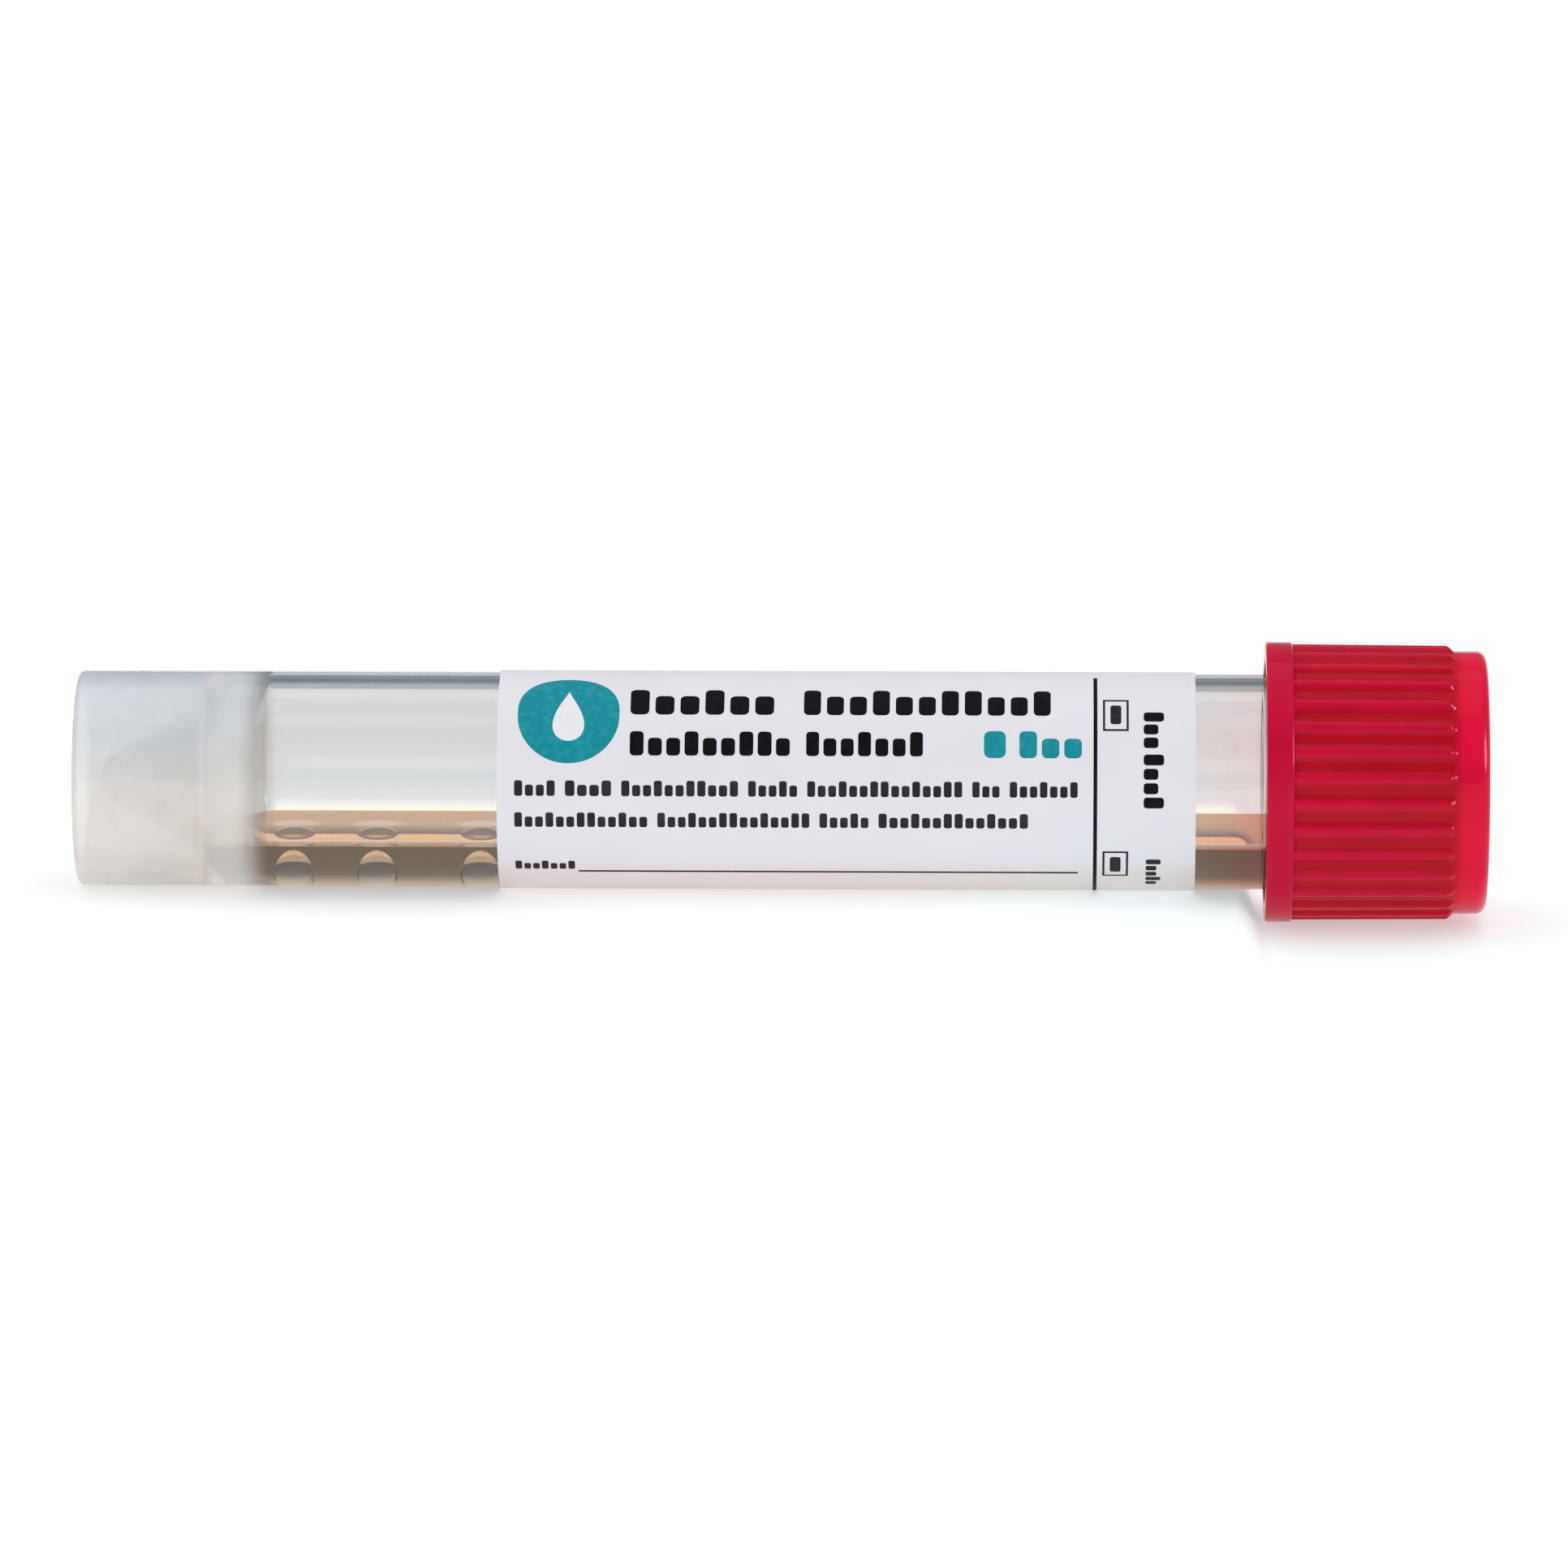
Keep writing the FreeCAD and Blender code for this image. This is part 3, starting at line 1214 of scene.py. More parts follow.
@dataclass
class ScrewCap:
    """The red cap: band, ribs, smooth rim round a recess, plug and inner thread."""

    thread: ThreadForm
    bore_radius: float = 9.05
    ceiling: float = 101.2
    ceiling_edge: float = 0.15
    ceiling_room: float = 1.0  # below it, where no thread is raised
    recess_floor: float = 103.0
    recess_edges: tuple[float, float] = (0.3, 0.15)  # round its floor, and at its lip
    band_length: float = 2.0
    band_edge: float = 0.22
    rim_length: float = 2.7
    rim_radius: float = 9.75
    rim_wall: float = 1.75
    rim_corner: float = 0.75
    rib_count: int = 32
    rib_radius: float = 10.25
    rib_relief: float = 0.3
    rib_draft: float = 0.1
    rib_share: float = 0.62
    rib_end_length: float = 0.7
    rib_reach: float = 0.4  # how far the ribs run on over the rim's start
    rib_end_zone: float = 1.5  # where the wall is cut finely, for the ribs' ends
    rib_rows: tuple[int, int] = (16, 3)  # in that zone, and in the rest of the ribs' length
    thread_reach: tuple[float, float] = (1.3, 6.0)  # before its start, and past it
    thread_rows: int = 48
    plug_end: float = 97.0
    plug_radii: tuple[float, float] = (5.95, 6.95)
    plug_edges: tuple[float, float] = (0.2, 0.3)  # inside and outside
    edge: float = 0.2
    steps: int = 384

    def __post_init__(self) -> None:
        """Reads the cap's place from the frame."""
        low, high = cad_span("screw_cap")
        self.mouth = low.x
        self.top = high.x
        self.band_radius = high.z
        self.band_top = self.mouth + self.band_length
        self.ribs_top = self.top - self.rim_length + self.rib_reach

    def outline(self) -> list[Corner]:
        """Draws the cap's section, from the recess's middle round to the plug's.

        Returns:
            The outline's corners.
        """
        recess = self.rim_radius - self.rim_wall
        plug_inner, plug_outer = self.plug_radii
        last_plain = self.ribs_top - self.rib_end_zone
        thread_from = self.thread.start - self.thread_reach[0]
        thread_to = self.thread.start + self.thread_reach[1]
        return [
            Corner(self.recess_floor, 0.0),
            Corner(self.recess_floor, recess, self.recess_edges[0]),
            Corner(self.top, recess, self.recess_edges[1]),
            Corner(self.top, self.rim_radius, self.rim_corner),
            Corner(self.ribs_top, self.rim_radius, 0.0, self.rib_rows[0]),
            Corner(last_plain, self.crest_at(last_plain), 0.0, self.rib_rows[1]),
            Corner(self.band_top, self.crest_at(self.band_top)),
            Corner(self.band_top, self.band_radius, self.band_edge),
            Corner(self.mouth, self.band_radius, self.edge),
            Corner(self.mouth, self.bore_radius, self.edge),
            Corner(thread_from, self.bore_radius, 0.0, self.thread_rows),
            Corner(thread_to, self.bore_radius),
            Corner(self.ceiling, self.bore_radius, self.ceiling_edge),
            Corner(self.ceiling, plug_outer, self.ceiling_edge),
            Corner(self.plug_end, plug_outer, self.plug_edges[1]),
            Corner(self.plug_end, plug_inner, self.plug_edges[0]),
            Corner(self.ceiling, plug_inner, self.plug_edges[0]),
            Corner(self.ceiling, 0.0),
        ]

    def crest_at(self, x: float) -> float:
        """Gives how far the ribs' crests are from the axis.

        Args:
            x: A place along the tube.

        Returns:
            The distance, which shrinks a little towards the cap's end.
        """
        share = clamp((x - self.mouth) / (self.ribs_top - self.mouth))
        return self.rib_radius - self.rib_draft * share

    def ribbed_radius(self, point: Vector) -> float:
        """Gives the ribbed wall's radius.

        Each rib has a round crest and ends in a round finger against the rim.

        Args:
            point: A place on the wall.

        Returns:
            How far the wall is from the axis there.
        """
        step = 2 * math.pi / self.rib_count
        angle = math.atan2(point.y, point.z) / step
        aside = abs(angle - round(angle)) * 2 / self.rib_share
        crest = self.crest_at(point.x)
        root = crest - self.rib_relief
        before_rim = (self.ribs_top - point.x) / (2 * self.rib_end_length)
        floor = self.rim_radius + (root - self.rim_radius) * smooth_step(before_rim)
        if aside >= 1:
            return floor
        half_width = crest * step * self.rib_share / 2
        rib_end = self.ribs_top - half_width * (1 - math.sqrt(1 - aside * aside))
        fall = smooth_step((rib_end - point.x) / self.rib_end_length)
        return floor + (crest - floor) * (1 - aside * aside) * fall

    def is_ribbed(self, point: Vector) -> bool:
        """Tells whether a point lies on the ribbed wall.

        Args:
            point: The point.

        Returns:
            True between the band and the rim, on the outside.
        """
        in_reach = self.band_top - ON_WALL < point.x < self.ribs_top - ON_WALL
        far_out = axis_distance(point) > self.rim_radius - ON_WALL
        at_band = abs(point.x - self.band_top) < ON_WALL
        on_band = at_band and axis_distance(point) > self.rib_radius
        return in_reach and far_out and not on_band

    def build(self, plastic: RedPolyethylene) -> bpy.types.Object:
        """Builds the cap.

        Args:
            plastic: Its finish.

        Returns:
            The piece.
        """
        mesh = turned(self.outline(), self.steps)
        shift_outwards(mesh, self.is_ribbed, self.ribbed_radius)
        below_ceiling = self.ceiling - self.ceiling_room
        shift_outwards(
            mesh,
            lambda p: p.x < below_ceiling and abs(axis_distance(p) - self.bore_radius) < ON_WALL,
            lambda p: self.bore_radius - self.thread.height_at(p),
        )
        material = plastic.material(self.ribs_top, self.rib_radius - self.rib_relief)
        piece = finish_mesh(mesh, "red_screw_cap", [material])
        hand_over(piece, Body.CAP, Slot.CAP, "screw_cap")
        return piece


@dataclass
class SealRing:
    """The flat ring between the tube's rim and the cap's ceiling."""

    bore_radius: float = 7.05
    edge: float = 0.18
    steps: int = 128

    def build(self, rubber: SealRubber) -> bpy.types.Object:
        """Builds the ring.

        Args:
            rubber: Its finish.

        Returns:
            The piece.
        """
        low, high = cad_span("cap_seal_ring")
        corners = [
            Corner(low.x, self.bore_radius, self.edge),
            Corner(low.x, high.z, self.edge),
            Corner(high.x, high.z, self.edge),
            Corner(high.x, self.bore_radius, self.edge),
        ]
        mesh = turned(corners, self.steps, closed=True)
        piece = finish_mesh(mesh, "seal_ring", [rubber.material()])
        hand_over(piece, Body.SEAL, Slot.SEAL, "cap_seal_ring")
        return piece


@dataclass
class Medium:
    """The liquid along the tube's lowest side, with room for the beads."""

    bore: Bore
    beads: "GlassBeads"
    gap: float = 0.02
    meniscus: float = 0.2  # how much its edge creeps up the wall
    creep_length: float = 0.7
    swell: float = 0.12  # how much it rises over a bead
    swell_length: float = 1.5
    cuts_from_wall: tuple[float, ...] = (0.15, 0.35, 0.6, 1.0, 1.6, 2.4, 3.4, 4.6)
    cuts_start: float = 6.0  # along the tube
    near_step: float = 0.5  # between the cuts up to a little past the last bead
    past_beads: float = 3.0
    far_step: float = 4.0
    steps: int = 192

    def __post_init__(self) -> None:
        """Reads the liquid's level and length from the frame."""
        _, high = cad_span("transport_medium")
        self.level = high.z
        self.end = high.x

    @property
    def wet_level(self) -> float:
        """How high the liquid wets the wall."""
        return self.level + self.meniscus

    def fill_top(self, mesh: bmesh.types.BMesh) -> list[bmesh.types.BMFace]:
        """Cuts the liquid at its level and closes it with a grid of faces.

        Args:
            mesh: The whole bore's form.

        Returns:
            The faces of the liquid's top.
        """
        cut = bmesh.ops.bisect_plane(
            mesh,
            geom=mesh.verts[:] + mesh.edges[:] + mesh.faces[:],
            dist=SAME_PLACE,
            plane_co=Vector((0.0, 0.0, self.level)),
            plane_no=Z_AXIS,
            clear_outer=True,
        )
        rim = [part for part in cut["geom_cut"] if isinstance(part, bmesh.types.BMEdge)]
        bmesh.ops.edgeloop_fill(mesh, edges=rim, mat_nr=1)
        half_width = math.sqrt(self.bore.radius**2 - self.level**2)
        across = [half_width - reach for reach in self.cuts_from_wall]
        planes = [(Vector((0.0, side * y, 0.0)), Y_AXIS) for y in across for side in (-1, 1)]
        planes.append((ORIGIN, Y_AXIS))
        near_end = self.beads.centres[-1].x + self.past_beads
        steps = range(round(self.cuts_start / self.near_step), int(near_end / self.near_step))
        along = [self.near_step * n for n in steps]
        far_count = int((self.end - near_end) / self.far_step) + 1
        along += [near_end + self.far_step * n for n in range(far_count)]
        planes += [(Vector((x, 0.0, 0.0)), X_AXIS) for x in along]
        for place, direction in planes:
            top = [face for face in mesh.faces if face.material_index == 1]
            edges = {edge for face in top for edge in face.edges}
            vertices = {vertex for face in top for vertex in face.verts}
            bmesh.ops.bisect_plane(
                mesh,
                geom=[*top, *edges, *vertices],
                dist=SAME_PLACE,
                plane_co=place,
                plane_no=direction,
            )
        return [face for face in mesh.faces if face.material_index == 1]

    def shape_top(self, top: Sequence[bmesh.types.BMFace]) -> None:
        """Lets the liquid's top creep up the wall and swell over the beads.

        Args:
            top: Its faces.
        """
        for vertex in {v for face in top for v in face.verts}:
            at_wall = any(face.material_index == 0 for face in vertex.link_faces)
            room = max(self.bore.radius - self.gap - axis_distance(vertex.co), 0.0)
            from_wall = 0.0 if at_wall else room * self.bore.radius / abs(vertex.co.y or 1e-3)
            rise = self.meniscus * math.exp(-from_wall / self.creep_length)
            for centre in self.beads.centres:
                flat = math.hypot(vertex.co.x - centre.x, vertex.co.y - centre.y)
                rise += self.swell * math.exp(-((flat / self.swell_length) ** 2))
            if at_wall:
                radius = axis_distance(vertex.co)
                height = vertex.co.z + min(rise, self.meniscus)
                reach = math.sqrt(max(radius**2 - height**2, 0.0))
                vertex.co.y = math.copysign(reach, vertex.co.y)
                vertex.co.z = height
            else:
                vertex.co.z += rise

    def bead_rooms(self) -> bmesh.types.BMesh:
        """Makes the holes that the beads take up, as spheres that face inwards.

        Returns:
            The mesh, in millimetres.
        """
        rooms = self.beads.spheres(self.gap / 2)
        bmesh.ops.reverse_faces(rooms, faces=rooms.faces[:])
        return rooms

    def build(self, liquid: TransportMedium) -> bpy.types.Object:
        """Builds the liquid.

        Args:
            liquid: Its finish.

        Returns:
            The piece.
        """
        end = Corner(self.end, self.bore.radius - self.gap)
        outline = [*self.bore.corners(-self.gap, end), Corner(self.end, 0.0)]
        mesh = turned(outline, self.steps)
        self.shape_top(self.fill_top(mesh))
        rooms = bpy.data.meshes.new("bead_rooms")
        spheres = self.bead_rooms()
        spheres.to_mesh(rooms)
        spheres.free()
        mesh.from_mesh(rooms)
        bpy.data.meshes.remove(rooms)
        piece = finish_mesh(mesh, "transport_medium_fill", [liquid.skin(), liquid.free_surface()])
        hand_over(piece, Body.TUBE, Slot.MEDIUM, "transport_medium")
        return piece


@dataclass
class GlassBeads:
    """The three loose beads, each at its place on the tube's lowest line."""

    count: int = 3
    segments: int = 96
    rings: int = 48
    centres: list[Vector] = field(default_factory=list)

    def __post_init__(self) -> None:
        """Reads the beads' places and size from the frame."""
        spans = [cad_span(f"glass_bead_{n}") for n in range(1, self.count + 1)]
        self.centres = [(low + high) / 2 for low, high in spans]
        self.radius = (spans[0][1].z - spans[0][0].z) / 2

    def spheres(self, extra: float, only: int | None = None) -> bmesh.types.BMesh:
        """Makes round balls at the beads' places.

        Args:
            extra: How much larger than a bead their radius is.
            only: The number of the one bead to make, or None for all.

        Returns:
            The mesh.
        """
        mesh = bmesh.new()
        for number, centre in enumerate(self.centres):
            if only is None or number == only:
                bmesh.ops.create_uvsphere(
                    mesh,
                    u_segments=self.segments,
                    v_segments=self.rings,
                    radius=self.radius + extra,
                    matrix=Matrix.Translation(centre),
                )
        return mesh

    def build(self, glass: BeadGlass) -> list[bpy.types.Object]:
        """Builds the beads.

        Args:
            glass: Their finish.

        Returns:
            One piece for each bead.
        """
        material = glass.material()
        pieces = []
        for number in range(self.count):
            mesh = self.spheres(0.0, only=number)
            piece = finish_mesh(mesh, f"bead_{number + 1}", [material])
            hand_over(piece, Body.TUBE, Slot.BEAD, f"glass_bead_{number + 1}")
            pieces.append(piece)
        return pieces


@dataclass(frozen=True)
class WordRow:
    """A row of plain blocks in the place of words."""

    start: float
    middle: float  # above the label's front line, along the paper
    height: float
    words: tuple[float, ...]
    ink: Ink
    gap: float = 0.9
    upright: bool = False  # read along the tube, or round it


@dataclass
class Label:
    """The wrapped paper label with its print."""

    level: float
    wrap: float = 315.0
    thickness: float = 0.08
    steps: int = 160
    ink_lift: float = 0.004
    ink_thickness: float = 0.006
    strip: float = 0.35  # the width of the strips that bend the print
    print_reach: float = 13.0  # how far the strips go to each side of the middle
    rows: tuple[WordRow, ...] = (
        WordRow(41.2, 7.85, 2.6, (10.6, 18.2), Ink.BLACK, 2.2),
        WordRow(41.2, 4.15, 1.9, (11.8, 8.6), Ink.BLACK, 1.2),
        WordRow(67.3, 4.15, 2.1, (1.6, 4.6), Ink.TEAL, 1.0),
        WordRow(32.7, 0.75, 1.15, (3.0, 3.4, 8.6, 3.6, 11.4, 2.0, 5.0), Ink.GREY, 0.75),
        WordRow(32.7, -1.65, 1.15, (9.8, 11.2, 3.6, 11.0), Ink.GREY, 0.75),
        WordRow(32.7, -5.85, 0.95, (4.4,), Ink.GREY),
    )
    side_rows: tuple[WordRow, ...] = (
        WordRow(-6.9, 79.8, 1.5, (3.0, 4.0), Ink.BLACK, 0.5, True),
        WordRow(5.0, 79.8, 1.1, (3.4,), Ink.GREY, 0.5, True),
    )
    rules: tuple[Patch, ...] = (((55.8, -6.6), (36.9, 0.2)), ((75.5, 0.0), (0.28, 22.6)))
    frames: tuple[Patch, ...] = (((77.0, 6.7), (1.9, 2.9)), ((77.0, -5.6), (1.9, 2.8)))
    frame_line: float = 0.16
    frame_bar: tuple[float, float] = (0.42, 0.6)  # its share of the frame's size
    letter_pitch: float = 0.66  # of a row's height
    letter_gap: float = 0.17
    letter_heights: tuple[float, ...] = (1.0, 0.72, 0.72, 1.0, 0.72, 0.72, 1.0)
    letter_rounding: float = 0.28  # of a letter's width
    sign_middle: tuple[float, float] = (36.65, 6.6)
    sign_size: tuple[float, float] = (7.5, 8.0)
    drop_radius: float = 1.7
    drop_taper: float = 1.6  # how sharply it narrows to its tip
    drop_stretch: float = 1.35

    def __post_init__(self) -> None:
        """Reads the label's place from the frame."""
        low, high = cad_span("label")
        self.start = low.x
        self.end = high.x
        self.outer = high.z

    def sheet_mesh(self) -> bmesh.types.BMesh:
        """Wraps the paper round the tube, with its bare strip at the back.

        Returns:
            The mesh, in millimetres, with its glued side marked.
        """
        radius = self.outer - self.thickness - self.ink_lift - self.ink_thickness
        corners = [
            Corner(self.start, radius),
            Corner(self.start, radius + self.thickness),
            Corner(self.end, radius + self.thickness),
            Corner(self.end, radius),
        ]
        mesh = turned(corners, self.steps, closed=True, arc=self.wrap)
        for face in mesh.faces:
            from_axis = max(axis_distance(vertex.co) for vertex in face.verts)
            face.material_index = int(from_axis < radius + self.thickness / 2)
        ends = [edge for edge in mesh.edges if edge.is_boundary]
        bmesh.ops.holes_fill(mesh, edges=ends, sides=4)
        bmesh.ops.recalc_face_normals(mesh, faces=mesh.faces[:])
        from_top = math.radians(-90 + (360 - self.wrap) / 2)
        turn = Matrix.Rotation(from_top, 3, "X")
        bmesh.ops.rotate(mesh, cent=ORIGIN, matrix=turn, verts=mesh.verts[:])
        return mesh

    def add_patch(
        self,
        mesh: bmesh.types.BMesh,
        middle: tuple[float, float],
        size: tuple[float, float],
        ink: Ink,
        rounding: float = 0.0,
        steps: int = 5,
    ) -> None:
        """Adds a flat patch of ink, with X along the tube and Y round it.

        Args:
            mesh: The print's mesh.
            middle: Where the patch's middle is.
            size: Its length and width.
            ink: Its ink.
            rounding: The radius of its corners.
            steps: How many edges each corner has.
        """
        place = Matrix.Translation((*middle, 0.0)) @ Matrix.Diagonal((*size, 1.0, 1.0))
        made = bmesh.ops.create_grid(mesh, x_segments=1, y_segments=1, size=0.5, matrix=place)
        for face in {face for vertex in made["verts"] for face in vertex.link_faces}:
            face.material_index = ink.value - 1
        if rounding:
            bmesh.ops.bevel(
                mesh,
                geom=made["verts"],
                offset=rounding,
                offset_type="OFFSET",
                segments=steps,
                profile=0.5,
                affect="VERTICES",
                material=-1,
            )

    def add_sign(self, mesh: bmesh.types.BMesh) -> None:
        """Adds a round patch with a white drop on it.

        Args:
            mesh: The print's mesh.
        """
        rounding = min(self.sign_size) / 2 - 0.05
        self.add_patch(mesh, self.sign_middle, self.sign_size, Ink.TEAL, rounding, 16)
        drop = bmesh.ops.create_circle(mesh, cap_ends=True, radius=self.drop_radius, segments=40)
        for face in {face for vertex in drop["verts"] for face in vertex.link_faces}:
            face.material_index = Ink.WHITE.value - 1
        for vertex in drop["verts"]:
            aside = abs(math.atan2(vertex.co.x, vertex.co.y)) / 2
            vertex.co.x *= math.sin(aside) ** self.drop_taper
            vertex.co.y = vertex.co.y * self.drop_stretch + self.sign_middle[1]
            vertex.co.x += self.sign_middle[0]
            vertex.co.z = self.ink_lift

    def add_row(self, mesh: bmesh.types.BMesh, row: WordRow) -> None:
        """Adds a row of bars, with a plain block in each letter's place.

        Args:
            mesh: The print's mesh.
            row: The row.
        """
        at = row.start
        gap = row.height * self.letter_gap
        for length in row.words:
            count = max(1, round(length / (row.height * self.letter_pitch)))
            width = (length - (count - 1) * gap) / count
            for n in range(count):
                height = row.height * self.letter_heights[n % len(self.letter_heights)]
                centre = at + width / 2
                line = row.middle - (row.height - height) / 2
                if row.upright:
                    middle, size = (line, -centre), (height, width)
                else:
                    middle, size = (centre, line), (width, height)
                self.add_patch(mesh, middle, size, row.ink, width * self.letter_rounding, 3)
                at += width + gap
            at += row.gap - gap

    def add_frame(
        self, mesh: bmesh.types.BMesh, middle: tuple[float, float], size: tuple[float, float]
    ) -> None:
        """Adds a thin box outline with a bar inside.

        Args:
            mesh: The print's mesh.
            middle: The box's middle.
            size: Its length and width.
        """
        line = self.frame_line
        for side in (-0.5, 0.5):
            across = (middle[0], middle[1] + side * (size[1] - line))
            self.add_patch(mesh, across, (size[0], line), Ink.GREY)
            upright = (middle[0] + side * (size[0] - line), middle[1])
            self.add_patch(mesh, upright, (line, size[1] - 2 * line), Ink.GREY)
        bar = (size[0] * self.frame_bar[0], size[1] * self.frame_bar[1])
        self.add_patch(mesh, middle, bar, Ink.GREY, 0.2)

    def flat_print(self) -> bmesh.types.BMesh:
        """Draws the whole print on the flat.

        Returns:
            The mesh, in millimetres.
        """
        mesh = bmesh.new()
        for row in self.rows:
            self.add_row(mesh, row)
        self.add_sign(mesh)
        for middle, size in self.rules:
            self.add_patch(mesh, middle, size, Ink.BLACK)
        for middle, size in self.frames:
            self.add_frame(mesh, middle, size)
        for row in self.side_rows:
            self.add_row(mesh, row)
        return mesh

    def bend(self, mesh: bmesh.types.BMesh, radius: float) -> None:
        """Cuts the flat print into narrow strips and wraps it round the tube.

        Args:
            mesh: The print's mesh.
            radius: How far from the axis it ends.
        """
        count = int(self.print_reach / self.strip)
        for n in range(-count, count + 1):
            bmesh.ops.bisect_plane(
                mesh,
                geom=mesh.verts[:] + mesh.edges[:] + mesh.faces[:],
                dist=SAME_PLACE,
                plane_co=Vector((0.0, n * self.strip, 0.0)),
                plane_no=Y_AXIS,
            )
        for vertex in mesh.verts:
            angle = vertex.co.y / radius
            lifted = radius + vertex.co.z
            vertex.co.y = -lifted * math.cos(angle)
            vertex.co.z = lifted * math.sin(angle)

    def print_mesh(self) -> bmesh.types.BMesh:
        """Makes the print as a very thin layer on the paper.

        Returns:
            The mesh, in millimetres.
        """
        mesh = self.flat_print()
        self.bend(mesh, self.outer - self.ink_thickness)
        bmesh.ops.solidify(mesh, geom=mesh.faces[:], thickness=-self.ink_thickness)
        bmesh.ops.recalc_face_normals(mesh, faces=mesh.faces[:])
        return mesh

    def build(self, paper: LabelPaper, inks: Sequence[PrintedInk]) -> list[bpy.types.Object]:
        """Builds the label.

        Args:
            paper: The sheet's finish.
            inks: The finishes of the inks, in the order of their numbers.

        Returns:
            The sheet and its print.
        """
        sides = [paper.material(self.level), paper.glued_back()]
        sheet = finish_mesh(self.sheet_mesh(), "wrapped_label", sides)
        hand_over(sheet, Body.TUBE, Slot.LABEL, "label")
        printed = finish_mesh(self.print_mesh(), "label_print", [ink.material() for ink in inks])
        hand_over(printed, Body.TUBE, Slot.LABEL)
        return [sheet, printed]


# Studio


@dataclass(frozen=True)
class SoftLamp:
    """A square soft lamp that shines at the middle of the tube."""

    name: str
    place: tuple[float, float, float]
    side: float
    power: float
    only_glints: bool = False  # whether it shows in shiny surfaces but lights nothing else


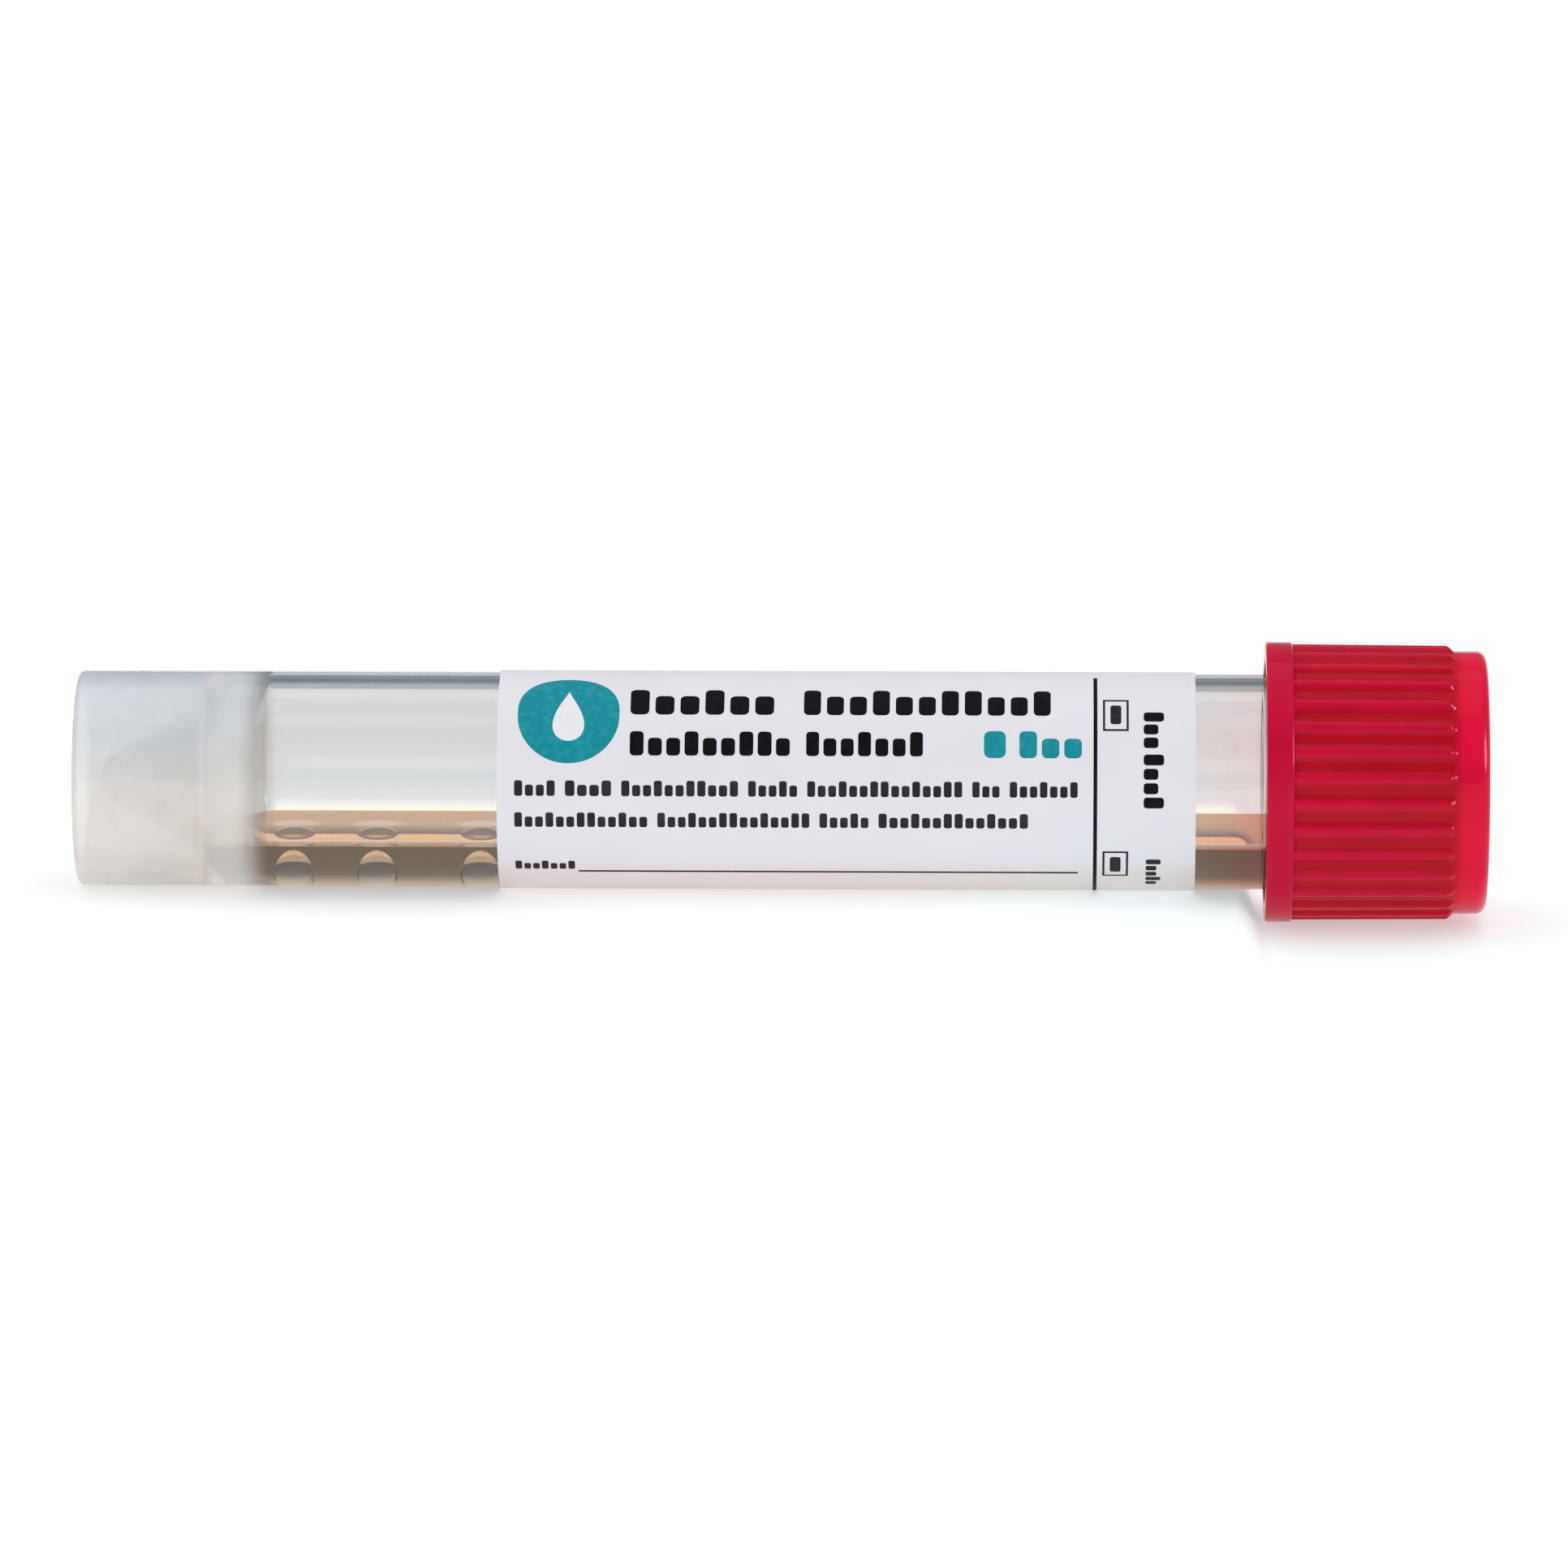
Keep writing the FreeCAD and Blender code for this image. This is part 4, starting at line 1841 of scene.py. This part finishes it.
@dataclass
class Studio:
    """A pale floor, a soft surround, lamps and the camera."""

    floor_side: float = 24.0
    floor_white: float = 0.62
    under_cap: tuple[float, float, float] = (98.0, -2.0, -10.0)
    cap_floor_reach: tuple[float, float] = (14.0, 44.0)  # where its tint fades
    cap_floor: tuple[float, float, float] = (0.575, 0.67, 0.67)  # offsets the cap's red light
    floor_glow: float = 0.45  # what lights the tube from below
    floor_through: tuple[float, float] = (0.34, 0.27)  # seen through clear walls, near and far
    gathered_colour: tuple[float, float, float] = (1.0, 0.74, 0.47)
    gathered_edge: tuple[float, float] = (2.9, 2.5)  # across the tube, where it begins
    gathered_strength: float = 1.5
    dim_strip: tuple[float, float] = (3.3, 6.2)  # behind it, where the floor brightens again
    dim_share: float = 0.3  # what is left of the floor's light before that
    beyond_strength: float = 0.45  # of the amber light behind the dim strip
    amber_end: tuple[float, float] = (34.0, 28.0)  # across the tube, where the amber light ends
    liquid_start: tuple[float, float] = (7.0, 13.0)  # along the tube
    far_fade: tuple[float, float] = (45.0, 100.0)  # from the near floor to the far floor
    floor_clean: float = 0.46  # what the bare view shows, so the open floor is white
    dip_start: float = 86.0  # the sheet gives way under the cap from here
    dip_end: float = 88.0
    dip_cuts: int = 15
    dip_step: float = 0.3  # between the cuts that shape the dip
    tube_radius: float = 8.0
    clearance: float = 0.03
    wall_foot: tuple[float, float] = (0.13, 0.17)  # the dim wall's heights in the surround
    wall_top: tuple[float, float] = (0.74, 0.46)
    wall_side: tuple[float, float] = (-0.1, 0.35)  # where it begins on the far side
    pale: tuple[float, float, float] = (0.88, 0.88, 0.89)
    dim: tuple[float, float, float] = (0.18, 0.22, 0.26)
    bounces: int = 24  # enough for clear walls in a row
    aim_x: float = 52.42  # what the middle of the view shows
    aim_z: float = -0.3
    stand_x: float = 70.0  # the camera stands square to the tube here
    distance: float = 850.0
    elevation: float = 10.0
    view_width: float = 116.5
    sensor: float = 36.0
    lamps: tuple[SoftLamp, ...] = (
        SoftLamp("overhead_lamp", (0.05, 0.12, 0.95), 1.0, 1.5),
        SoftLamp("side_glints", (0.775, -0.272, 0.32), 0.3, 6.0, True),
    )

    def floor_height(self, x: float) -> float:
        """Gives the floor's height, with a dip that lets the tube and its cap both lie on it.

        Args:
            x: A place along the tube, in millimetres.

        Returns:
            The height in millimetres.
        """
        cap_low, _ = cad_span("screw_cap")
        under_tube = -self.tube_radius
        dip = smooth_step((x - self.dip_start) / (self.dip_end - self.dip_start))
        return under_tube + (cap_low.z - under_tube) * dip - self.clearance

    def build_floor(self) -> bpy.types.Object:
        """Builds the floor.

        Returns:
            The floor, which belongs to the stage.
        """
        mesh = bmesh.new()
        bmesh.ops.create_grid(mesh, x_segments=1, y_segments=1, size=self.floor_side / 2 / MM)
        for n in range(self.dip_cuts):
            bmesh.ops.bisect_plane(
                mesh,
                geom=mesh.verts[:] + mesh.edges[:] + mesh.faces[:],
                dist=SAME_PLACE,
                plane_co=Vector((self.dip_start + (n - 1) * self.dip_step, 0.0, 0.0)),
                plane_no=X_AXIS,
            )
        for vertex in mesh.verts:
            vertex.co.z = self.floor_height(vertex.co.x)
        floor = finish_mesh(mesh, "floor", [self.floor_material()])
        return floor

    def floor_material(self) -> bpy.types.Material:
        """Makes the floor: a white sheet lit softly from below, so its shadows stay pale.

        Through the clear walls it also shows the strip of light that the tube gathers under
        itself, and the dim strip behind that.

        Returns:
            The material.
        """
        material, tree = new_material("backlit_white_sheet")
        place = add_node(tree, "ShaderNodeTexCoord")
        from_cap = add_node(
            tree,
            "ShaderNodeVectorMath",
            {"operation": "DISTANCE"},
            {0: place.outputs["Object"], 1: Vector(self.under_cap) * MM},
        )
        open_sheet = add_node(
            tree,
            "ShaderNodeMapRange",
            {"interpolation_type": "SMOOTHSTEP"},
            {
                "Value": from_cap.outputs["Value"],
                "From Min": self.cap_floor_reach[0] * MM,
                "From Max": self.cap_floor_reach[1] * MM,
            },
        )
        tint = add_node(
            tree,
            "ShaderNodeMix",
            {"data_type": "RGBA"},
            {
                0: open_sheet.outputs["Result"],
                6: (*self.cap_floor, 1.0),
                7: (*[self.floor_white] * 3, 1.0),
            },
        )
        sheet = add_node(tree, "ShaderNodeBsdfDiffuse", None, {"Color": tint.outputs[2]})
        parts = add_node(tree, "ShaderNodeSeparateXYZ", None, {"Vector": place.outputs["Object"]})
        gathered = add_node(
            tree,
            "ShaderNodeMapRange",
            None,
            {
                "Value": parts.outputs["Y"],
                "From Min": self.gathered_edge[0] * MM,
                "From Max": self.gathered_edge[1] * MM,
                "To Max": self.gathered_strength,
            },
        )
        beyond = add_node(
            tree,
            "ShaderNodeMapRange",
            None,
            {
                "Value": parts.outputs["Y"],
                "From Min": self.dim_strip[0] * MM,
                "From Max": self.dim_strip[1] * MM,
                "To Max": self.beyond_strength,
            },
        )
        nearby = add_node(
            tree,
            "ShaderNodeMapRange",
            None,
            {
                "Value": parts.outputs["Y"],
                "From Min": self.amber_end[0] * MM,
                "From Max": self.amber_end[1] * MM,
            },
        )
        strips = add_node(
            tree,
            "ShaderNodeMath",
            {"operation": "ADD"},
            {0: gathered.outputs["Result"], 1: beyond.outputs["Result"]},
        )
        strips = add_node(
            tree,
            "ShaderNodeMath",
            {"operation": "MULTIPLY"},
            {0: strips.outputs[0], 1: nearby.outputs["Result"]},
        )
        under_liquid = add_node(
            tree,
            "ShaderNodeMapRange",
            {"interpolation_type": "SMOOTHSTEP"},
            {
                "Value": parts.outputs["X"],
                "From Min": self.liquid_start[0] * MM,
                "From Max": self.liquid_start[1] * MM,
            },
        )
        strips = add_node(
            tree,
            "ShaderNodeMath",
            {"operation": "MULTIPLY"},
            {0: strips.outputs[0], 1: under_liquid.outputs["Result"]},
        )
        path = add_node(tree, "ShaderNodeLightPath")
        strips = add_node(
            tree,
            "ShaderNodeMath",
            {"operation": "MULTIPLY"},
            {0: strips.outputs[0], 1: path.outputs["Is Transmission Ray"]},
        )
        amber = add_node(
            tree,
            "ShaderNodeEmission",
            None,
            {"Color": (*self.gathered_colour, 1.0), "Strength": strips.outputs[0]},
        )
        fading = add_node(
            tree,
            "ShaderNodeMapRange",
            {"interpolation_type": "SMOOTHSTEP"},
            {
                "Value": parts.outputs["Y"],
                "From Min": self.far_fade[0] * MM,
                "From Max": self.far_fade[1] * MM,
                "To Min": self.floor_through[0],
                "To Max": self.floor_through[1],
            },
        )
        shade = add_node(
            tree,
            "ShaderNodeMapRange",
            None,
            {
                "Value": parts.outputs["Y"],
                "From Min": self.dim_strip[0] * MM,
                "From Max": self.dim_strip[1] * MM,
                "To Min": self.dim_share,
            },
        )
        shade = add_node(
            tree,
            "ShaderNodeMix",
            {"data_type": "FLOAT"},
            {0: under_liquid.outputs["Result"], 2: 1.0, 3: shade.outputs["Result"]},
        )
        seen = add_node(
            tree,
            "ShaderNodeMath",
            {"operation": "MULTIPLY"},
            {0: fading.outputs["Result"], 1: shade.outputs[0]},
        )
        glow = add_node(
            tree,
            "ShaderNodeMix",
            {"data_type": "FLOAT"},
            {0: path.outputs["Is Transmission Ray"], 2: self.floor_glow, 3: seen.outputs[0]},
        )
        glow = add_node(
            tree,
            "ShaderNodeMix",
            {"data_type": "FLOAT"},
            {0: path.outputs["Is Camera Ray"], 2: glow.outputs[0], 3: self.floor_clean},
        )
        light = add_node(tree, "ShaderNodeEmission", None, {"Strength": glow.outputs[0]})
        light = add_node(
            tree,
            "ShaderNodeAddShader",
            None,
            {0: light.outputs["Emission"], 1: amber.outputs["Emission"]},
        )
        both = add_node(
            tree,
            "ShaderNodeAddShader",
            None,
            {0: sheet.outputs["BSDF"], 1: light.outputs["Shader"]},
        )
        add_node(tree, "ShaderNodeOutputMaterial", None, {"Surface": both.outputs["Shader"]})
        return material

    def build_surround(self) -> None:
        """Builds the room round the floor: pale, with a dim far wall and a dim ceiling."""
        world = bpy.data.worlds.new("studio")
        bpy.context.scene.world = world
        world.use_nodes = True
        tree = world.node_tree
        tree.nodes.clear()
        place = add_node(tree, "ShaderNodeTexCoord")
        parts = add_node(
            tree, "ShaderNodeSeparateXYZ", None, {"Vector": place.outputs["Generated"]}
        )
        above_edge = add_node(
            tree,
            "ShaderNodeMapRange",
            {"interpolation_type": "SMOOTHSTEP"},
            {
                "Value": parts.outputs["Z"],
                "From Min": self.wall_foot[0],
                "From Max": self.wall_foot[1],
            },
        )
        below_top = add_node(
            tree,
            "ShaderNodeMapRange",
            {"interpolation_type": "SMOOTHSTEP"},
            {
                "Value": parts.outputs["Z"],
                "From Min": self.wall_top[0],
                "From Max": self.wall_top[1],
            },
        )
        far_side = add_node(
            tree,
            "ShaderNodeMapRange",
            {"interpolation_type": "SMOOTHSTEP"},
            {
                "Value": parts.outputs["Y"],
                "From Min": self.wall_side[0],
                "From Max": self.wall_side[1],
            },
        )
        wall = add_node(
            tree,
            "ShaderNodeMath",
            {"operation": "MULTIPLY"},
            {0: above_edge.outputs["Result"], 1: below_top.outputs["Result"]},
        )
        wall = add_node(
            tree,
            "ShaderNodeMath",
            {"operation": "MULTIPLY"},
            {0: wall.outputs[0], 1: far_side.outputs["Result"]},
        )
        path = add_node(tree, "ShaderNodeLightPath")
        ceiling = add_node(
            tree,
            "ShaderNodeMath",
            {"operation": "MULTIPLY"},
            {0: above_edge.outputs["Result"], 1: path.outputs["Is Glossy Ray"]},
        )
        dim = add_node(
            tree,
            "ShaderNodeMix",
            {"data_type": "FLOAT"},
            {0: path.outputs["Is Transmission Ray"], 2: ceiling.outputs[0], 3: wall.outputs[0]},
        )
        light = add_node(
            tree,
            "ShaderNodeMix",
            {"data_type": "RGBA"},
            {0: dim.outputs[0], 6: (*self.pale, 1.0), 7: (*self.dim, 1.0)},
        )
        room = add_node(
            tree, "ShaderNodeBackground", None, {"Color": light.outputs[2], "Strength": 1.0}
        )
        white = add_node(tree, "ShaderNodeBackground", None, {"Color": (1.0, 1.0, 1.0, 1.0)})
        both = add_node(
            tree,
            "ShaderNodeMixShader",
            None,
            {
                0: path.outputs["Is Camera Ray"],
                1: room.outputs["Background"],
                2: white.outputs["Background"],
            },
        )
        add_node(tree, "ShaderNodeOutputWorld", None, {"Surface": both.outputs["Shader"]})

    def build_lamps(self) -> None:
        """Builds the lamps."""
        middle = Vector((self.aim_x * MM, 0.0, 0.0))
        for lamp in self.lamps:
            data = bpy.data.lights.new(lamp.name, "AREA")
            data.shape = "SQUARE"
            data.size = lamp.side
            data.energy = lamp.power
            made = bpy.data.objects.new(lamp.name, data)
            made.location = lamp.place
            made.rotation_euler = (middle - made.location).to_track_quat("-Z", "Y").to_euler()
            made.visible_diffuse = not lamp.only_glints
            bpy.context.scene.collection.objects.link(made)

    def build_camera(self) -> None:
        """Builds the camera, a little above the tube and looking slightly to one side."""
        rise = math.radians(self.elevation)
        data = bpy.data.cameras.new("camera")
        data.sensor_width = self.sensor
        data.lens = self.sensor * self.distance / self.view_width
        data.clip_start = 0.01
        data.clip_end = 100.0
        camera = bpy.data.objects.new("camera", data)
        foot = Vector((self.stand_x, 0.0, 0.0))
        back = Vector((0.0, -math.cos(rise), math.sin(rise))) * self.distance
        camera.location = (foot + back) * MM
        aim = Vector((self.aim_x, 0.0, self.aim_z)) * MM
        camera.rotation_euler = (aim - camera.location).to_track_quat("-Z", "Y").to_euler()
        bpy.context.scene.collection.objects.link(camera)
        bpy.context.scene.camera = camera

    def build(self) -> None:
        """Builds the whole studio and sets how colours are shown."""
        scene = bpy.context.scene
        scene.view_settings.view_transform = "Standard"
        scene.cycles.max_bounces = self.bounces
        scene.cycles.transmission_bounces = self.bounces
        scene.cycles.transparent_max_bounces = self.bounces
        self.build_floor()
        self.build_surround()
        self.build_lamps()
        self.build_camera()


def main() -> None:
    """Builds the tube's pieces in order, then the studio."""
    logging.basicConfig(level=logging.INFO, format="%(message)s")
    bore = Bore()
    beads = GlassBeads()
    medium = Medium(bore, beads)
    tube = ClearTube(bore, ThreadForm(start=90.7, turns=2.5), medium.wet_level, medium.end)
    tube.build(ClearPolypropylene())
    medium.build(TransportMedium())
    beads.build(BeadGlass())
    SealRing().build(SealRubber())
    ScrewCap(ThreadForm(start=92.2, turns=1.5)).build(RedPolyethylene())
    inks = (
        PrintedInk("black_ink", "0E0D10", "19181B"),
        PrintedInk("grey_ink", "29282C", "38373C"),
        PrintedInk("teal_ink", "0A8E9B", "2C9CA8"),
        PrintedInk("white_ink", "ECECF0", "E6E6EA"),
    )
    Label(medium.level).build(LabelPaper(), inks)
    Studio().build()


if __name__ == "__main__":
    main()
